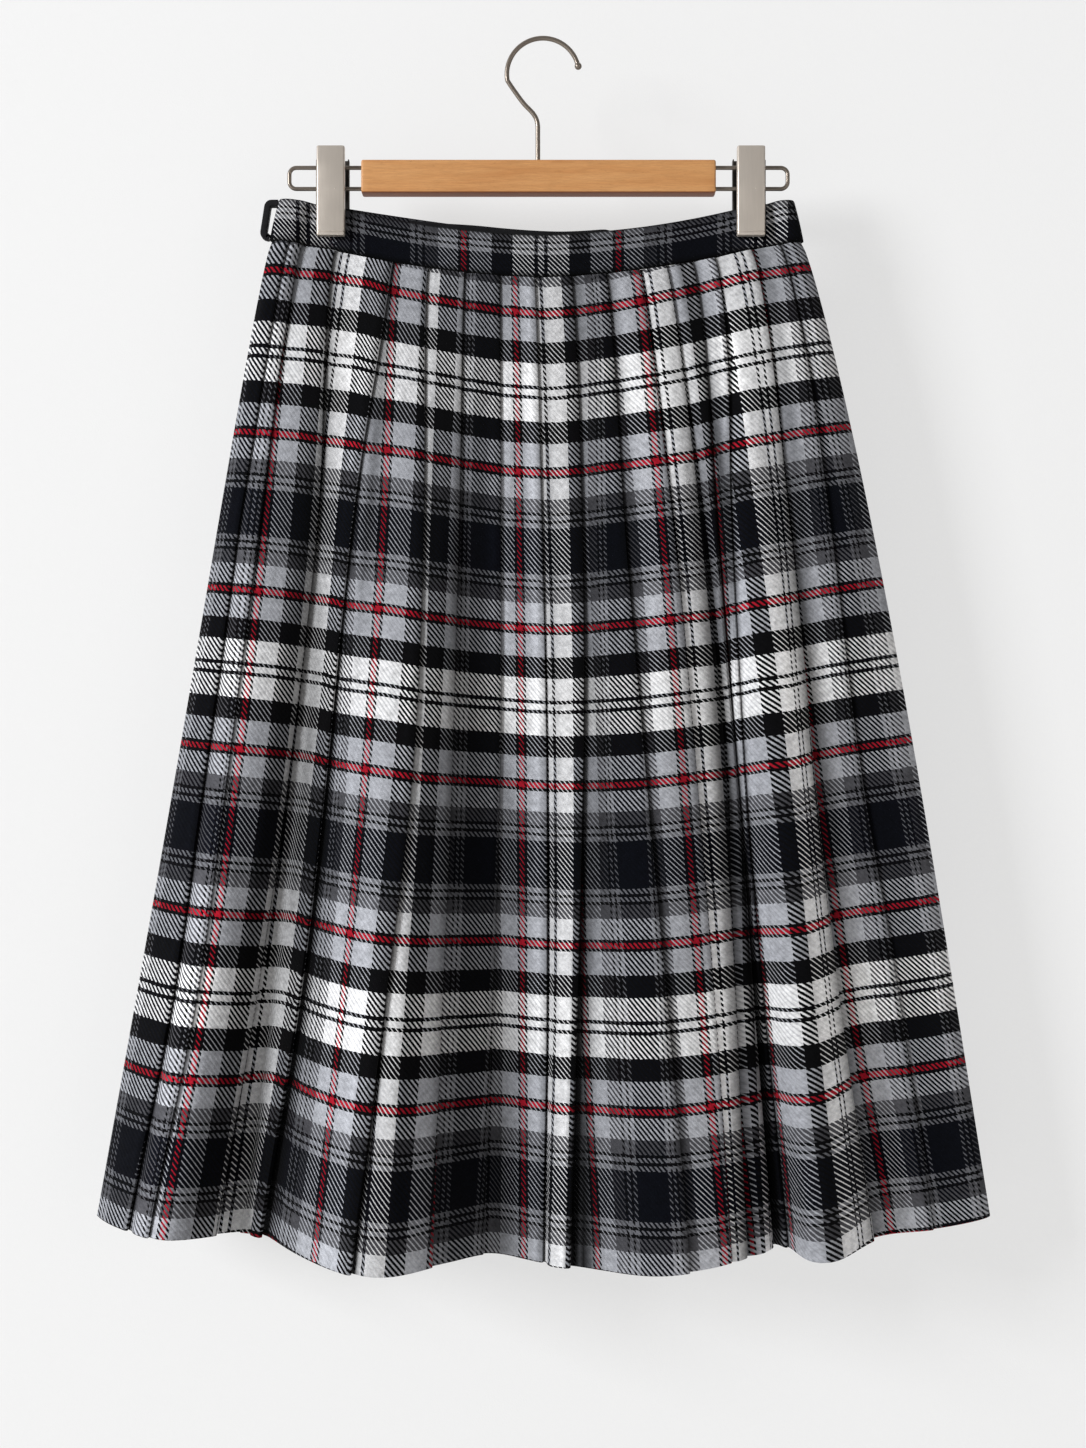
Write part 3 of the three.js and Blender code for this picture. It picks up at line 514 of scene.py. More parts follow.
def seam_height(across, front):
    sag = BAND_SAG if front else BACK_BAND_SAG
    shift = 0 if front else BACK_SAG_SHIFT * (1 - across * across)
    reach = np.abs(from_clips(across) - shift) / CLIP_SPREAD
    rise = sag * np.minimum(1, reach) ** EDGE_POWER
    beyond = BAND_END_RISE * np.maximum(0, reach - 1)
    return SEAM_LOW + BAND_SAG - sag + rise + beyond


def hem_height(across):
    return HEM_LOW + HEM_SIDE_RISE * np.abs(across) ** EDGE_POWER


def mouth(across, front):
    open_by = FRONT_MOUTH if front else BACK_MOUTH
    away = np.abs(from_clips(across))
    middle = open_by * np.cos(np.minimum(1, away / PRESSED) * (np.pi / 2)) ** 2
    roll = BAND_END_ROLL * smooth_step(RELEASED, RELEASED + ROLL_RUN, away)
    past = clamp(1 - (1 - np.abs(across)) / BAND_END_ROUND)
    return GAP / 2 + middle + roll * np.sqrt(1 - past ** 2)


def depth(across, down, front):
    top = FRONT_BULGE_TOP if front else BACK_BULGE_TOP
    hem = FRONT_BULGE_HEM if front else BACK_BULGE_HEM
    swells = FRONT_SWELLS if front else BACK_SWELLS
    near_side = np.sqrt(np.maximum(0, 1 - across * across))
    out = mix(top, hem, down) * near_side
    for swell in swells:
        away = (across - swell["at"]) / swell["spread"]
        growth = down ** SWELL_GROWTH * smooth_step(0, SIDE_STIFF, near_side)
        out = out + swell["out"] * np.exp(-away * away) * growth
    free = smooth_step(0, WAIST_STIFF, down)
    return mix(mouth(across, front), GAP / 2 + np.maximum(0, out), free)


def pushed_out(flat, across, lift, front):
    """Moves points of a level outline outward along the outline's own normal."""
    before = flat(np.maximum(-1, across - NUDGE))
    after = flat(np.minimum(1, across + NUDGE))
    run_x, run_y = direction(after[0] - before[0], after[1] - before[1])
    at_end = np.abs(across) > 1 - NUDGE / 3
    turn = np.where((across < 0) == front, -1.0, 1.0)
    run_x = np.where(at_end, 0, run_x)
    run_y = np.where(at_end, turn, run_y)
    side = 1 if front else -1
    x, y = flat(across)
    return x + side * run_y * lift, y - side * run_x * lift


def skirt_points(across, down, lift, front):
    def flat(place):
        out = depth(place, down, front)
        narrow = 1 - out * DRAW_IN if front else 1
        x = centre(down) + place * half_width(down) * narrow
        return x, (-out if front else out)

    x, y = pushed_out(flat, across, lift, front)
    z = mix(seam_height(across, front) - GAP, hem_height(across), down)
    return np.stack([x, y, z], axis=-1)


def band_points(across, rise, lift, front):
    def flat(place):
        out = mouth(place, front)
        x = WAIST_CENTRE + place * (WAIST_HALF - BAND_FLARE * rise / BAND_HEIGHT)
        return x, (-out if front else out)

    x, y = pushed_out(flat, across, lift, front)
    return np.stack([x, y, seam_height(across, front) + rise], axis=-1)


# ---------------------------------------------------------------- pleated panels

ROWS = 118                 # levels down a panel
STRIP_STEPS = 12           # columns on each strip between two folds
ROUND_STEPS = 3            # columns round each folded edge
TURN_STEPS = 2             # columns round each hidden turn
LAST_STEPS = 22            # columns on the strip that meets the side seam
LEVEL_COLUMN = 0.45        # place of a last column before the edge, as a share of the underlap
EDGE_HIDDEN = 0.1          # share of the way to the next strip for a folded edge, or a step of a turn
TURN_HIDDEN = 0.5          # share of that way where the hidden turn begins
MITRE = 0.7                # keeps the skins from reaching far out at sharp corners
# The next four lines set the shade painted into the cloth's colour inside folds, beside their edges
# and before a deep turn.
HIDDEN_PAINTED_SHADE = 0.35         # shade of the cloth inside a fold, of the 1 right beside its edge
PAINTED_SHADE_FALL = 1.3            # power by which that shade falls off
TURN_FADES = (0.75, 1.25)  # a turn's shade fades out between these shares of its reach
TURN_GROWS = (0.3, 1)      # and comes in as that reach grows from the first to the second, in mm


def stripe_units(stripes, share, down):
    """Place in the sett at shares of the width, straight between the named stripes."""
    known = [(stripe["unit"], through(stripe["places"], down) / 100) for stripe in stripes]
    units = None
    for (unit_a, place_a), (unit_b, place_b) in zip(known, known[1:]):
        here = unit_a + (share - place_a) * (unit_b - unit_a) / (place_b - place_a)
        units = here if units is None else np.where(share > place_a, here, units)
    return units


def pleat_columns(folds, down):
    """Columns of the cloth's middle across a panel, as arrays down it: how far along the panel
    each is, how far it is lifted off the inner face, its strip between two folds, and, where
    the fold hides it, the share of the way to the next strip."""
    width = 2 * half_width(down)
    edges = [through(fold["places"], down) / 100 * width for fold in folds]
    columns = []

    def add(along, lift, strip, hidden=None):
        columns.append({"along": along, "lift": lift, "strip": strip, "hidden": hidden})

    start = np.zeros_like(down)
    for i, fold in enumerate(folds):
        edge = edges[i]
        after = edges[i + 1] if i + 1 < len(edges) else width
        under = np.minimum(UNDERLAP, UNDERLAP_SHARE * np.minimum(edge - start, after - edge))
        stand = mix(TOP_STAND, max(TOP_STAND, fold["stand"]), down ** FOLD_GROWTH)
        layer = SHEET + stand
        radius = layer / 2
        foot = start + np.minimum(FOLD_CLEAR, (edge - under - start) / 4)
        add(start, 0 * down, i)
        for step in range(STRIP_STEPS + 1):
            t = step / STRIP_STEPS
            rise = 2 * layer * math.sin(t * math.pi / 2)
            add(mix(foot, edge - under, t), rise, i)
        add(edge - under * LEVEL_COLUMN, 2 * layer, i)
        for step in range(ROUND_STEPS + 1):
            angle = math.pi * (0.5 - step / ROUND_STEPS)
            x = edge - radius + radius * math.cos(angle)
            hidden = EDGE_HIDDEN * step / ROUND_STEPS
            add(x, 1.5 * layer + radius * math.sin(angle), i, hidden)
        for step in range(TURN_STEPS + 1):
            angle = math.pi * (0.5 + step / TURN_STEPS)
            x = edge - under + radius + radius * math.cos(angle)
            hidden = TURN_HIDDEN + EDGE_HIDDEN * step
            add(x, 0.5 * layer + radius * math.sin(angle), i, hidden)
        start = edge
    add(start, 0 * down, len(folds))
    add(start + FOLD_CLEAR, 0 * down, len(folds))
    for step in range(1, LAST_STEPS + 1):
        t = math.sin(step / LAST_STEPS * math.pi / 2)
        add(mix(start + FOLD_CLEAR, width, t), 0 * down, len(folds))
    return width, edges, columns


def both_skins(along, lift):
    """Both skins of a wall, half the cloth's thickness to either side of its middle."""
    first = np.stack([np.diff(along, axis=1, prepend=0), np.diff(lift, axis=1, prepend=0)])
    first[:, :, 0] = first[:, :, 1]
    second = np.concatenate([first[:, :, 1:], first[:, :, -1:]], axis=2)
    first_x, first_y = direction(*first)
    second_x, second_y = direction(*second)
    left_x, left_y = direction(-(first_y + second_y), first_x + second_x)
    reach = SHEET / 2 / np.maximum(MITRE, -left_x * first_y + left_y * first_x)
    outer = (along + left_x * reach, lift + left_y * reach)
    inner = (along - left_x * reach, lift - left_y * reach)
    return outer, inner


def wall_faces(rows, count):
    """Faces of a closed wall whose outer skin comes first and its inner skin after it."""
    inner = rows * count
    faces = []
    for row in range(rows - 1):
        for i in range(count - 1):
            a = row * count + i
            b = a + count
            faces.append((a, b, b + 1, a + 1))
            faces.append((inner + a, inner + a + 1, inner + b + 1, inner + b))
        left = row * count
        right = left + count - 1
        faces.append((left, inner + left, inner + left + count, left + count))
        faces.append((right, right + count, inner + right + count, inner + right))
    foot = (rows - 1) * count
    for i in range(count - 1):
        faces.append((i, i + 1, inner + i + 1, inner + i))
        faces.append((foot + i, inner + foot + i, inner + foot + i + 1, foot + i + 1))
    return faces


def front_warp(strip, share, down):
    stripes = [row for row in FRONT_STRIPES if row["strip"] == strip]
    return stripe_units(stripes, share, down)


def back_warp(strip, share, down):
    begin = through(BACK_FOLDS[strip - 1]["places"], down) / 100 if strip else 0 * down
    return BACK_STARTS[strip] + (share - begin) * 2 * half_width(down) / UNIT


def weft_lift(across, rows):
    """How far the crosswise stripes ride up on the front, eased between the named places."""
    places = [row["across"] for row in FRONT_WEFT_LIFTS]
    lifts = np.stack([through(row["places"], rows[:, 0]) for row in FRONT_WEFT_LIFTS], axis=1)
    return np.array([np.interp(line, places, lift) for line, lift in zip(across, lifts)])


# A crease grows in between these shares of the half-width from a side seam, and between these
# shares of the drop from the waist seam.
CREASE_FROM_SIDE = (0, 0.06)
CREASE_FROM_WAIST = (0.02, 0.12)


def crease_lift(across, down, creases):
    """Height of the soft creases at places on a panel; none reach its seams or its sides."""
    x = across * half_width(down)
    z = -down * DROP
    lift = np.zeros_like(across)
    for crease in creases:
        turn = math.radians(crease["lean"])
        from_x = x - crease["at"] * half_width(crease["down"])
        from_z = z + crease["down"] * DROP
        along = (from_z * math.cos(turn) + from_x * math.sin(turn)) / (crease["long"] / 2)
        aside = (from_x * math.cos(turn) - from_z * math.sin(turn)) / crease["wide"]
        lift = lift + crease["high"] * np.exp(-along * along - aside * aside)
    off_side = smooth_step(*CREASE_FROM_SIDE, 1 - np.abs(across))
    return lift * (off_side * smooth_step(*CREASE_FROM_WAIST, down))


def fold_painted_shade(column, edges, folds, down):
    """How much shade is painted on a column: none in the open, and 1 right beside the fold over it.
    """
    strip = column["strip"]
    nook = 0 * down
    if column["hidden"] is not None:
        return nook + HIDDEN_PAINTED_SHADE
    if strip:
        beyond = np.maximum(0, column["along"] - edges[strip - 1])
        reach = through(folds[strip - 1].get("shade", BACK_PAINTED_SHADE), down)
        nook = np.exp(-((beyond / reach) ** PAINTED_SHADE_FALL))
    if strip < len(folds) and folds[strip]["name"] in FRONT_TURN_PAINTED_SHADE:
        turn = through(FRONT_TURN_PAINTED_SHADE[folds[strip]["name"]], down)
        before = edges[strip] - column["along"]
        near = 1 - smooth_step(*TURN_FADES, before / np.maximum(0.01, turn))
        nook = np.maximum(nook, near * smooth_step(*TURN_GROWS, turn))
    return nook


def fold_painted_light(seen, rows, zones):
    """Painted light and shade on a panel, as a share of the yarns' lightness, at shares of its width
    as seen straight from the front.
    """
    tone = np.full_like(seen, PLAIN_PAINTED_LIGHT)
    for zone in zones:
        away = (seen * 100 - through(zone["places"], rows)) / zone["reach"]
        tone = tone * (1 - through(zone["loses"], rows) * np.exp(-away * away))
    return np.minimum(tone, MOST_PAINTED_LIGHT)


def pleated_panel(name, folds, creases, front, warp_at):
    down = np.linspace(0, 1, ROWS)
    width, edges, columns = pleat_columns(folds, down)
    along = np.stack([column["along"] for column in columns], axis=1)
    lift = np.stack([column["lift"] + 0 * down for column in columns], axis=1) + CLOTH / 2
    rows = np.repeat(down[:, None], along.shape[1], axis=1)
    skins = []
    for skin_along, skin_lift in both_skins(along, lift):
        share = 2 * skin_along / width[:, None] - 1
        across = np.clip(share if front else -share, -1, 1)
        crease = crease_lift(across, rows, creases)
        skins.append(skirt_points(across, rows, np.maximum(0, skin_lift) + crease, front))
    points = np.concatenate([skin.reshape(-1, 3) for skin in skins])
    piece = add_mesh(name, points, wall_faces(*along.shape), 60)

    seen = along / width[:, None]
    weft = (SETTS_DOWN * rows + SETT_AT_SEAM) * HALF_SETT
    if front:
        weft = weft + weft_lift(2 * seen - 1, rows)
        x, y = skins[0][..., 0], skins[0][..., 1]
        seen = 0.5 + (x - centre(rows)) / (2 * half_width(rows) * (1 + y * DRAW_IN))
    warp = []
    yarn = []
    for column, share in zip(columns, seen.T):
        strip = column["strip"]
        begin = edges[strip - 1] if strip else 0 * down
        yarn.append((column["along"] - begin) / UNIT + STRIP_APART * strip)
        unit = warp_at(strip, share, down)
        if column["hidden"] is not None:
            unit = mix(unit, warp_at(strip + 1, share, down), column["hidden"])
        warp.append(unit)
    # Painted shade beside fold edges and inside folds, and the painted light and shade of the large
    # folds.
    nook = [fold_painted_shade(column, edges, folds, down) for column in columns]
    values = {
        "warp": np.stack(warp, axis=1),
        "yarn": np.stack(yarn, axis=1),
        "weft": weft,
        "nook": np.stack(nook, axis=1),
        "tone": fold_painted_light(seen, rows, FRONT_PAINTED_LIGHT if front else []),
    }
    for word, numbers in values.items():
        add_values(piece, word, np.concatenate([numbers.ravel(), numbers.ravel()]))
    return piece


# ---------------------------------------------------------------- waistband and its trim


def rounded_profile(low, high, back, front, radius, crown=0, steps=4):
    """Closed profile of a flat strip on its edge, as (rise, lift) pairs, with round corners;
    crown is how far its front swells."""
    corners = [
        (low + radius, back + radius, 180),
        (low + radius, front - radius, 90),
        (high - radius, front - radius, 0),
        (high - radius, back + radius, -90),
    ]
    profile = []
    for index, (rise, lift, angle) in enumerate(corners):
        for step in range(steps + 1):
            turn = math.radians(angle - 90 * step / steps) + math.pi / 2
            profile.append((rise + radius * math.cos(turn), lift + radius * math.sin(turn)))
        if index == 1:
            for share in (0.12, 0.3, 0.5, 0.7, 0.88):
                belly = crown * math.sin(math.pi * share)
                profile.append((mix(low + radius, high - radius, share), front + belly))
    return np.array(profile)


BAND_STEPS = 130
BAND_CROWDING = 1.35       # over 1 the steps lie closer together toward the ends
BAND_ENDS = np.array([0.96, 0.97, 0.98, 0.987, 0.993, 0.997, 1])


def band_across(left, right):
    """Places across a band, closer together where its ends roll round."""
    steps = np.linspace(-1, 1, BAND_STEPS)
    even = np.sign(steps) * (1 - (1 - np.abs(steps)) ** BAND_CROWDING)
    inner = even[np.abs(even) < BAND_ENDS[0] - 0.005]
    places = np.concatenate([inner, BAND_ENDS, -BAND_ENDS])
    places = np.unique(np.round(places, 5))
    inside = places[(places > left) & (places < right)]
    return np.concatenate([[left], inside, [right]])


def strip_on_band(name, profile, left, right, front, sink=None):
    """A strip along the band between two places across it; sink tells how far it is lowered."""
    places = band_across(left, right)
    across = np.repeat(places[:, None], len(profile), axis=1)
    rise = profile[:, 0] + 0 * across
    if sink:
        rise = rise - sink(across)
    points = band_points(across, rise, profile[:, 1] + 0 * across, front)
    return add_rings(name, points, 50), points[..., 0], rise


# Stretches of the front band with their own run of the sett: each starts at a distance from
# the middle of the hanger, with the place in the sett there, and units to each mm.
BAND_RUNS = table(
    "from at unit rate",
    (-400, -172.1, 0, 1.39),
    (-152, -1.4, 0, 1.46),
    (149, 175.0, 29, 1.53),
)
BAND_TOP_WEFT = 113
BAND_FOOT_WEFT = 163
# Shade painted into the band's colour along its seam and along its folded top.
BAND_PAINTED_SHADE = 0.95           # shade of the band's seam and of its folded top
SEAM_PAINTED_SHADE = (0.6, 2.6)     # the seam's shade fades between these heights above it
TOP_PAINTED_SHADE = (1.6, 0.4)      # and the top's shade grows between these depths below it


def waistband(name, front):
    edge = BAND_EDGE
    profile = rounded_profile(
        edge["foot"], BAND_HEIGHT, edge["back"], BAND_THICK, edge["round"], edge["crown"]
    )
    piece, x, rise = strip_on_band(name, profile, -1, 1, front)
    warp = np.zeros_like(x)
    for run in BAND_RUNS:
        warp = np.where(x >= run["from"], run["unit"] + (x - run["at"]) * run["rate"], warp)
    # Painted shade: the band grows darker toward its seam and toward its folded top.
    seam = 1 - smooth_step(*SEAM_PAINTED_SHADE, rise)
    top = smooth_step(BAND_HEIGHT - TOP_PAINTED_SHADE[0], BAND_HEIGHT - TOP_PAINTED_SHADE[1], rise)
    add_values(piece, "warp", warp)
    add_values(piece, "weft", mix(BAND_FOOT_WEFT, BAND_TOP_WEFT, rise / BAND_HEIGHT))
    add_values(piece, "yarn", x / UNIT)
    add_values(piece, "nook", BAND_PAINTED_SHADE * np.maximum(seam, top))
    # The band keeps the plain level of painted light.
    add_values(piece, "tone", np.full_like(x, PLAIN_PAINTED_LIGHT))
    return piece


def facing_strip():
    """The strip inside the back band; its top sinks behind the band toward both ends."""
    top = BAND_HEIGHT + FACING["proud"]
    inner = -GAP - FACING["thick"]
    profile = rounded_profile(top - FACING["height"], top, inner, -GAP, FACING["round"], steps=3)
    left, right = FACING["left"], FACING["right"]

    def sink(across):
        risen_left = smooth_step(left, left + FACING["sinks_left"], across)
        sunk_right = smooth_step(right - FACING["sinks_right"], right, across)
        return FACING["sink"] * (1 - risen_left * (1 - sunk_right))

    return strip_on_band("facing_trim", profile, left, right, False, sink)[0]


def sweep(path, section):
    """Rings of a section swept along a path that lies in the hanger's plane."""
    path = np.asarray(path, dtype=float)
    run = np.gradient(path, axis=0)
    run /= np.linalg.norm(run, axis=1)[:, None]
    side = np.stack([-run[:, 2], 0 * run[:, 0], run[:, 0]], axis=1)
    ahead = np.array([0.0, 1.0, 0.0])
    rings = [
        [point + a * normal + b * ahead for a, b in section] for point, normal in zip(path, side)
    ]
    return np.array(rings)


def round_section(radius, sides=16):
    angles = [2 * math.pi * i / sides for i in range(sides)]
    return [(radius * math.cos(a), radius * math.sin(a)) for a in angles]


def arc(x, z, radius, start, end, steps):
    angles = np.radians(np.linspace(start, end, steps + 1))
    return [(x + radius * math.cos(a), 0, z + radius * math.sin(a)) for a in angles]


def strap():
    """Flat strap bent into a loop, both ends against the band's slanting left end."""
    def band_end(rise):
        point = band_points(np.array(-1.0), np.array(rise), BAND_THICK, True)
        return point[0] - GAP, point[2]

    half = STRAP["thick"] / 2
    top_rise = BAND_HEIGHT - STRAP["drop"]
    top_x, top_z = band_end(top_rise)
    foot_x, foot_z = band_end(top_rise - STRAP["high"])
    out_top = top_x - STRAP["reach"] + half
    out_foot = out_top - STRAP["lean"]
    bend = STRAP["corner"] - half
    lean = math.degrees(math.atan2(STRAP["lean"], top_z - foot_z))
    path = [(top_x, 0, top_z - half), (mix(top_x, out_top, 0.4), 0, top_z - half)]
    path += arc(out_top + bend, top_z - half - bend, bend, 92, 180 - lean, 6)
    path += arc(out_foot + bend, foot_z + half + bend, bend, 180 - lean, 268, 6)
    path += [(mix(foot_x, out_foot, 0.4), 0, foot_z + half), (foot_x, 0, foot_z + half)]
    side = STRAP["wide"] / 2
    section = rounded_profile(-half, half, -side, side, radius=0.9, steps=3)
    return add_rings("strap_loop_trim", sweep(path, section), 60)


# ---------------------------------------------------------------- hanger


def joined(name, parts, sharp):
    """One mesh object from the points and faces of several parts."""
    vertices = []
    faces = []
    for part_vertices, part_faces in parts:
        base = sum(len(v) for v in vertices)
        vertices.append(part_vertices)
        faces += [tuple(base + i for i in face) for face in part_faces]
    return add_mesh(name, np.concatenate(vertices), faces, sharp)


def catmull(points, steps):
    """A smooth run of points through a short list of them."""
    points = np.asarray(points, dtype=float)
    ends = np.concatenate([[2 * points[0] - points[1]], points, [2 * points[-1] - points[-2]]])
    run = []
    for i in range(1, len(ends) - 2):
        a, b, c, d = ends[i - 1:i + 3]
        for step in range(steps):
            t = step / steps
            run.append(0.5 * (
                2 * b + (c - a) * t + (2 * a - 5 * b + 4 * c - d) * t ** 2
                + (3 * b - a - 3 * c + d) * t ** 3
            ))
    run.append(points[-1])
    return np.array(run)


# Where the hook's wire bends back from its crook to its shank, in mm across and up.
HOOK_SHANK = [(-19.4, -38), (-13.5, -45.8), (-6.8, -53), (-4, -59.5), (HOOK["x"], -70)]


def hook_piece():
    """Bent wire hook, with a small ball at its tip."""
    low, _ = box_mm("hook")
    crook = arc(0, HOOK["wire"] / 2 - HOOK["crook"], HOOK["crook"], HOOK["tip"], HOOK["back"], 40)
    shank = [(x, 0, z) for x, z in HOOK_SHANK] + [(HOOK["x"], 0, low[2])]
    smooth = catmull(crook[-2:] + shank, 10)[10:]
    wire = sweep(np.concatenate([crook[:-1], smooth]), round_section(HOOK["wire"] / 2, 20))
    ball = []
    for step in range(1, 12):
        angle = math.pi * step / 12
        height = HOOK["ball"] * math.cos(angle)
        section = round_section(HOOK["ball"] * math.sin(angle), 20)
        ball.append([np.array(crook[0]) + (a, b, height) for a, b in section])
    return joined("hook_wire", [skin_of(wire), skin_of(ball)], 70)


def wire_piece(side, word):
    """Wire loop at one end of the bar: out along the upper rail, round, and back."""
    low, high = box_mm("hanger_bar")
    middle = (low + high) / 2
    bar_end = (high[0] - low[0]) / 2 - LOOP["seat"]
    bend = LOOP["corner"]
    turn = LOOP["half"] - WIRE / 2 - bend
    path = [(mix(bar_end, turn, t), 0, LOOP["rail"]) for t in (0, 0.3, 0.6, 0.9)]
    path += arc(turn, LOOP["rail"] - bend, bend, 90, 0, 10)
    path += arc(turn, bend - LOOP["rail"], bend, 0, -90, 10)
    path += [(mix(turn, bar_end, t), 0, -LOOP["rail"]) for t in (0.1, 0.4, 0.7, 1)]
    path = [(middle[0] + side * x, y, middle[2] + z) for x, y, z in path]
    return add_rings(f"wire_{word}", sweep(path, round_section(WIRE / 2, 18)), 70)


def block_rings(low, high, ends, radius, steps, plain=None):
    """Rings along a block whose ends draw in by some mm at some distances from each end."""
    middle = (low + high) / 2
    half = (high - low) / 2
    places = [(low[0] + at, shrink) for at, shrink in ends]
    if plain:
        places += [(mix(low[0] + plain, high[0] - plain, t), 0) for t in (0.2, 0.4, 0.6, 0.8)]
    places += [(high[0] - at, shrink) for at, shrink in reversed(ends)]
    rings = []
    for x, shrink in places:
        tall = half[2] - shrink
        deep = half[1] - shrink
        edge = min(radius, half[1] * 0.9 - shrink * 0.5, half[2] * 0.9)
        profile = rounded_profile(-tall, tall, -deep, deep, radius=edge, steps=steps)
        rings.append([(x, middle[1] + y, middle[2] + z) for z, y in profile])
    return np.array(rings)


def bar_piece():
    """Planed wood bar: a long rounded block, with its ends a little more rounded."""
    low, high = box_mm("hanger_bar")
    ends = [
        (BAR["end"] * (1 - math.cos(share * math.pi / 2)), BAR["end"] * (1 - share) ** 2 * 0.9)
        for share in (0, 0.25, 0.6, 1)
    ]
    ends += [(BAR["plain"] * 0.3, 0), (BAR["plain"], 0)]
    return add_rings("bar_wood", block_rings(low, high, ends, BAR["round"], 4, BAR["plain"]), 45)


# ---------------------------------------------------------------- clips

SHEET_STEEL = 1.0
PLATE_OUT = 10.5           # how far a plate's outer face stands from the hanger's plane
FLANGE = 5.5
JAW = {"inset": 0.8, "near": 3.45, "far": 9.6, "foot": 0.3, "top": 2.7, "round": 0.6}
PLATE_ROUND = 1.3          # radius of the folded edges of a clip plate
GROOVE_RISE = 2.6          # height of the jaw line above the foot of a clip plate


def channel_rings(half, face, levels):
    """Rings of a folded channel, at (height, inset) levels; face is the sign of its front."""
    rings = []
    back = PLATE_OUT - FLANGE
    inner = PLATE_OUT - SHEET_STEEL
    inner_side = half - SHEET_STEEL
    turns = [(1 - math.cos(a), 1 - math.sin(a)) for a in np.linspace(0, math.pi / 2, 6)]
    for height, inset in levels:
        front = PLATE_OUT - inset
        side = half - inset
        corner = [(side - PLATE_ROUND * a, front - PLATE_ROUND * b) for a, b in turns]
        outline = [(-side, back)] + [(-x, y) for x, y in corner] + corner[::-1]
        outline += [(side, back), (inner_side, back), (inner_side, inner)]
        outline += [(-inner_side, inner), (-inner_side, back)]
        rings.append([(x, face * y, height) for x, y in outline])
    return np.array(rings)


def clip_plate(low, high, face):
    """A folded sheet plate, with a pressed line above its jaw and eased ends."""
    foot, top = low[2], high[2]
    line = foot + GROOVE_RISE
    levels = [
        (foot, 0.7), (foot + 0.3, 0.25), (foot + 0.8, 0.0), (line - 0.45, 0.0), (line - 0.1, 0.3),
        (line + 0.1, 0.3), (line + 0.45, 0.0), (mix(foot, top, 0.5), 0.0), (top - 0.8, 0.0),
        (top - 0.3, 0.2), (top, 0.6),
    ]
    rings = channel_rings((high[0] - low[0]) / 2, face, levels)
    rings[..., 0] += (low[0] + high[0]) / 2
    return skin_of(rings)


def rounded_block(low, high, radius):
    """Small block with round edges along X and softened ends."""
    ends = [(0, radius), (radius * 0.3, radius * 0.3), (radius, 0)]
    return skin_of(block_rings(np.array(low), np.array(high), ends, radius, 3))


def dome(x, z, radius, height, face, sides):
    """Low round rivet head that stands on a plate."""
    rings = []
    for share in (1, 0.9, 0.65, 0.35, 0.1):
        out = PLATE_OUT + height * math.sqrt(1 - share ** 2) - 0.05
        section = round_section(radius, sides)
        rings.append([(x + a * share, face * out, z + b * share) for a, b in section])
    return skin_of(rings)


# The two plates of a clip and the rivet head on each: how far it lies beside the middle, its
# share of the way up, and its size.
# The rear plate's dark steel is painted shade, for the shadow it hangs in behind the front plate.
CLIP_PLATES = table(
    "word face slot aside up radius height sides",
    ("front", -1, "satin_nickel", 3.4, 0.52, 0.6, 0.25, 12),
    ("rear", 1, "dark_steel", 0, 0.78, 3.0, 1.0, 20),
)


def clip_pieces(side_word, metals):
    for plate in CLIP_PLATES:
        node = f"clip_{side_word}_{plate['word']}"
        face = plate["face"]
        low, high = box_mm(node)
        reach = sorted((face * JAW["near"], face * JAW["far"]))
        jaw_low = (low[0] + JAW["inset"], reach[0], low[2] + JAW["foot"])
        jaw_high = (high[0] - JAW["inset"], reach[1], low[2] + JAW["top"])
        rivet_x = (low[0] + high[0]) / 2 + plate["aside"]
        rivet_z = mix(low[2], high[2], plate["up"])
        piece = joined(f"{node}_plate", [
            clip_plate(low, high, face),
            rounded_block(jaw_low, jaw_high, JAW["round"]),
            dome(rivet_x, rivet_z, plate["radius"], plate["height"], face, plate["sides"]),
        ], 40)
        finish_piece(piece, metals[plate["slot"]], [node])
    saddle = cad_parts[f"clip_{side_word}_saddle"]
    saddle.data.materials.clear()
    saddle.data.materials.append(metals["dark_steel"])


# ---------------------------------------------------------------- materials


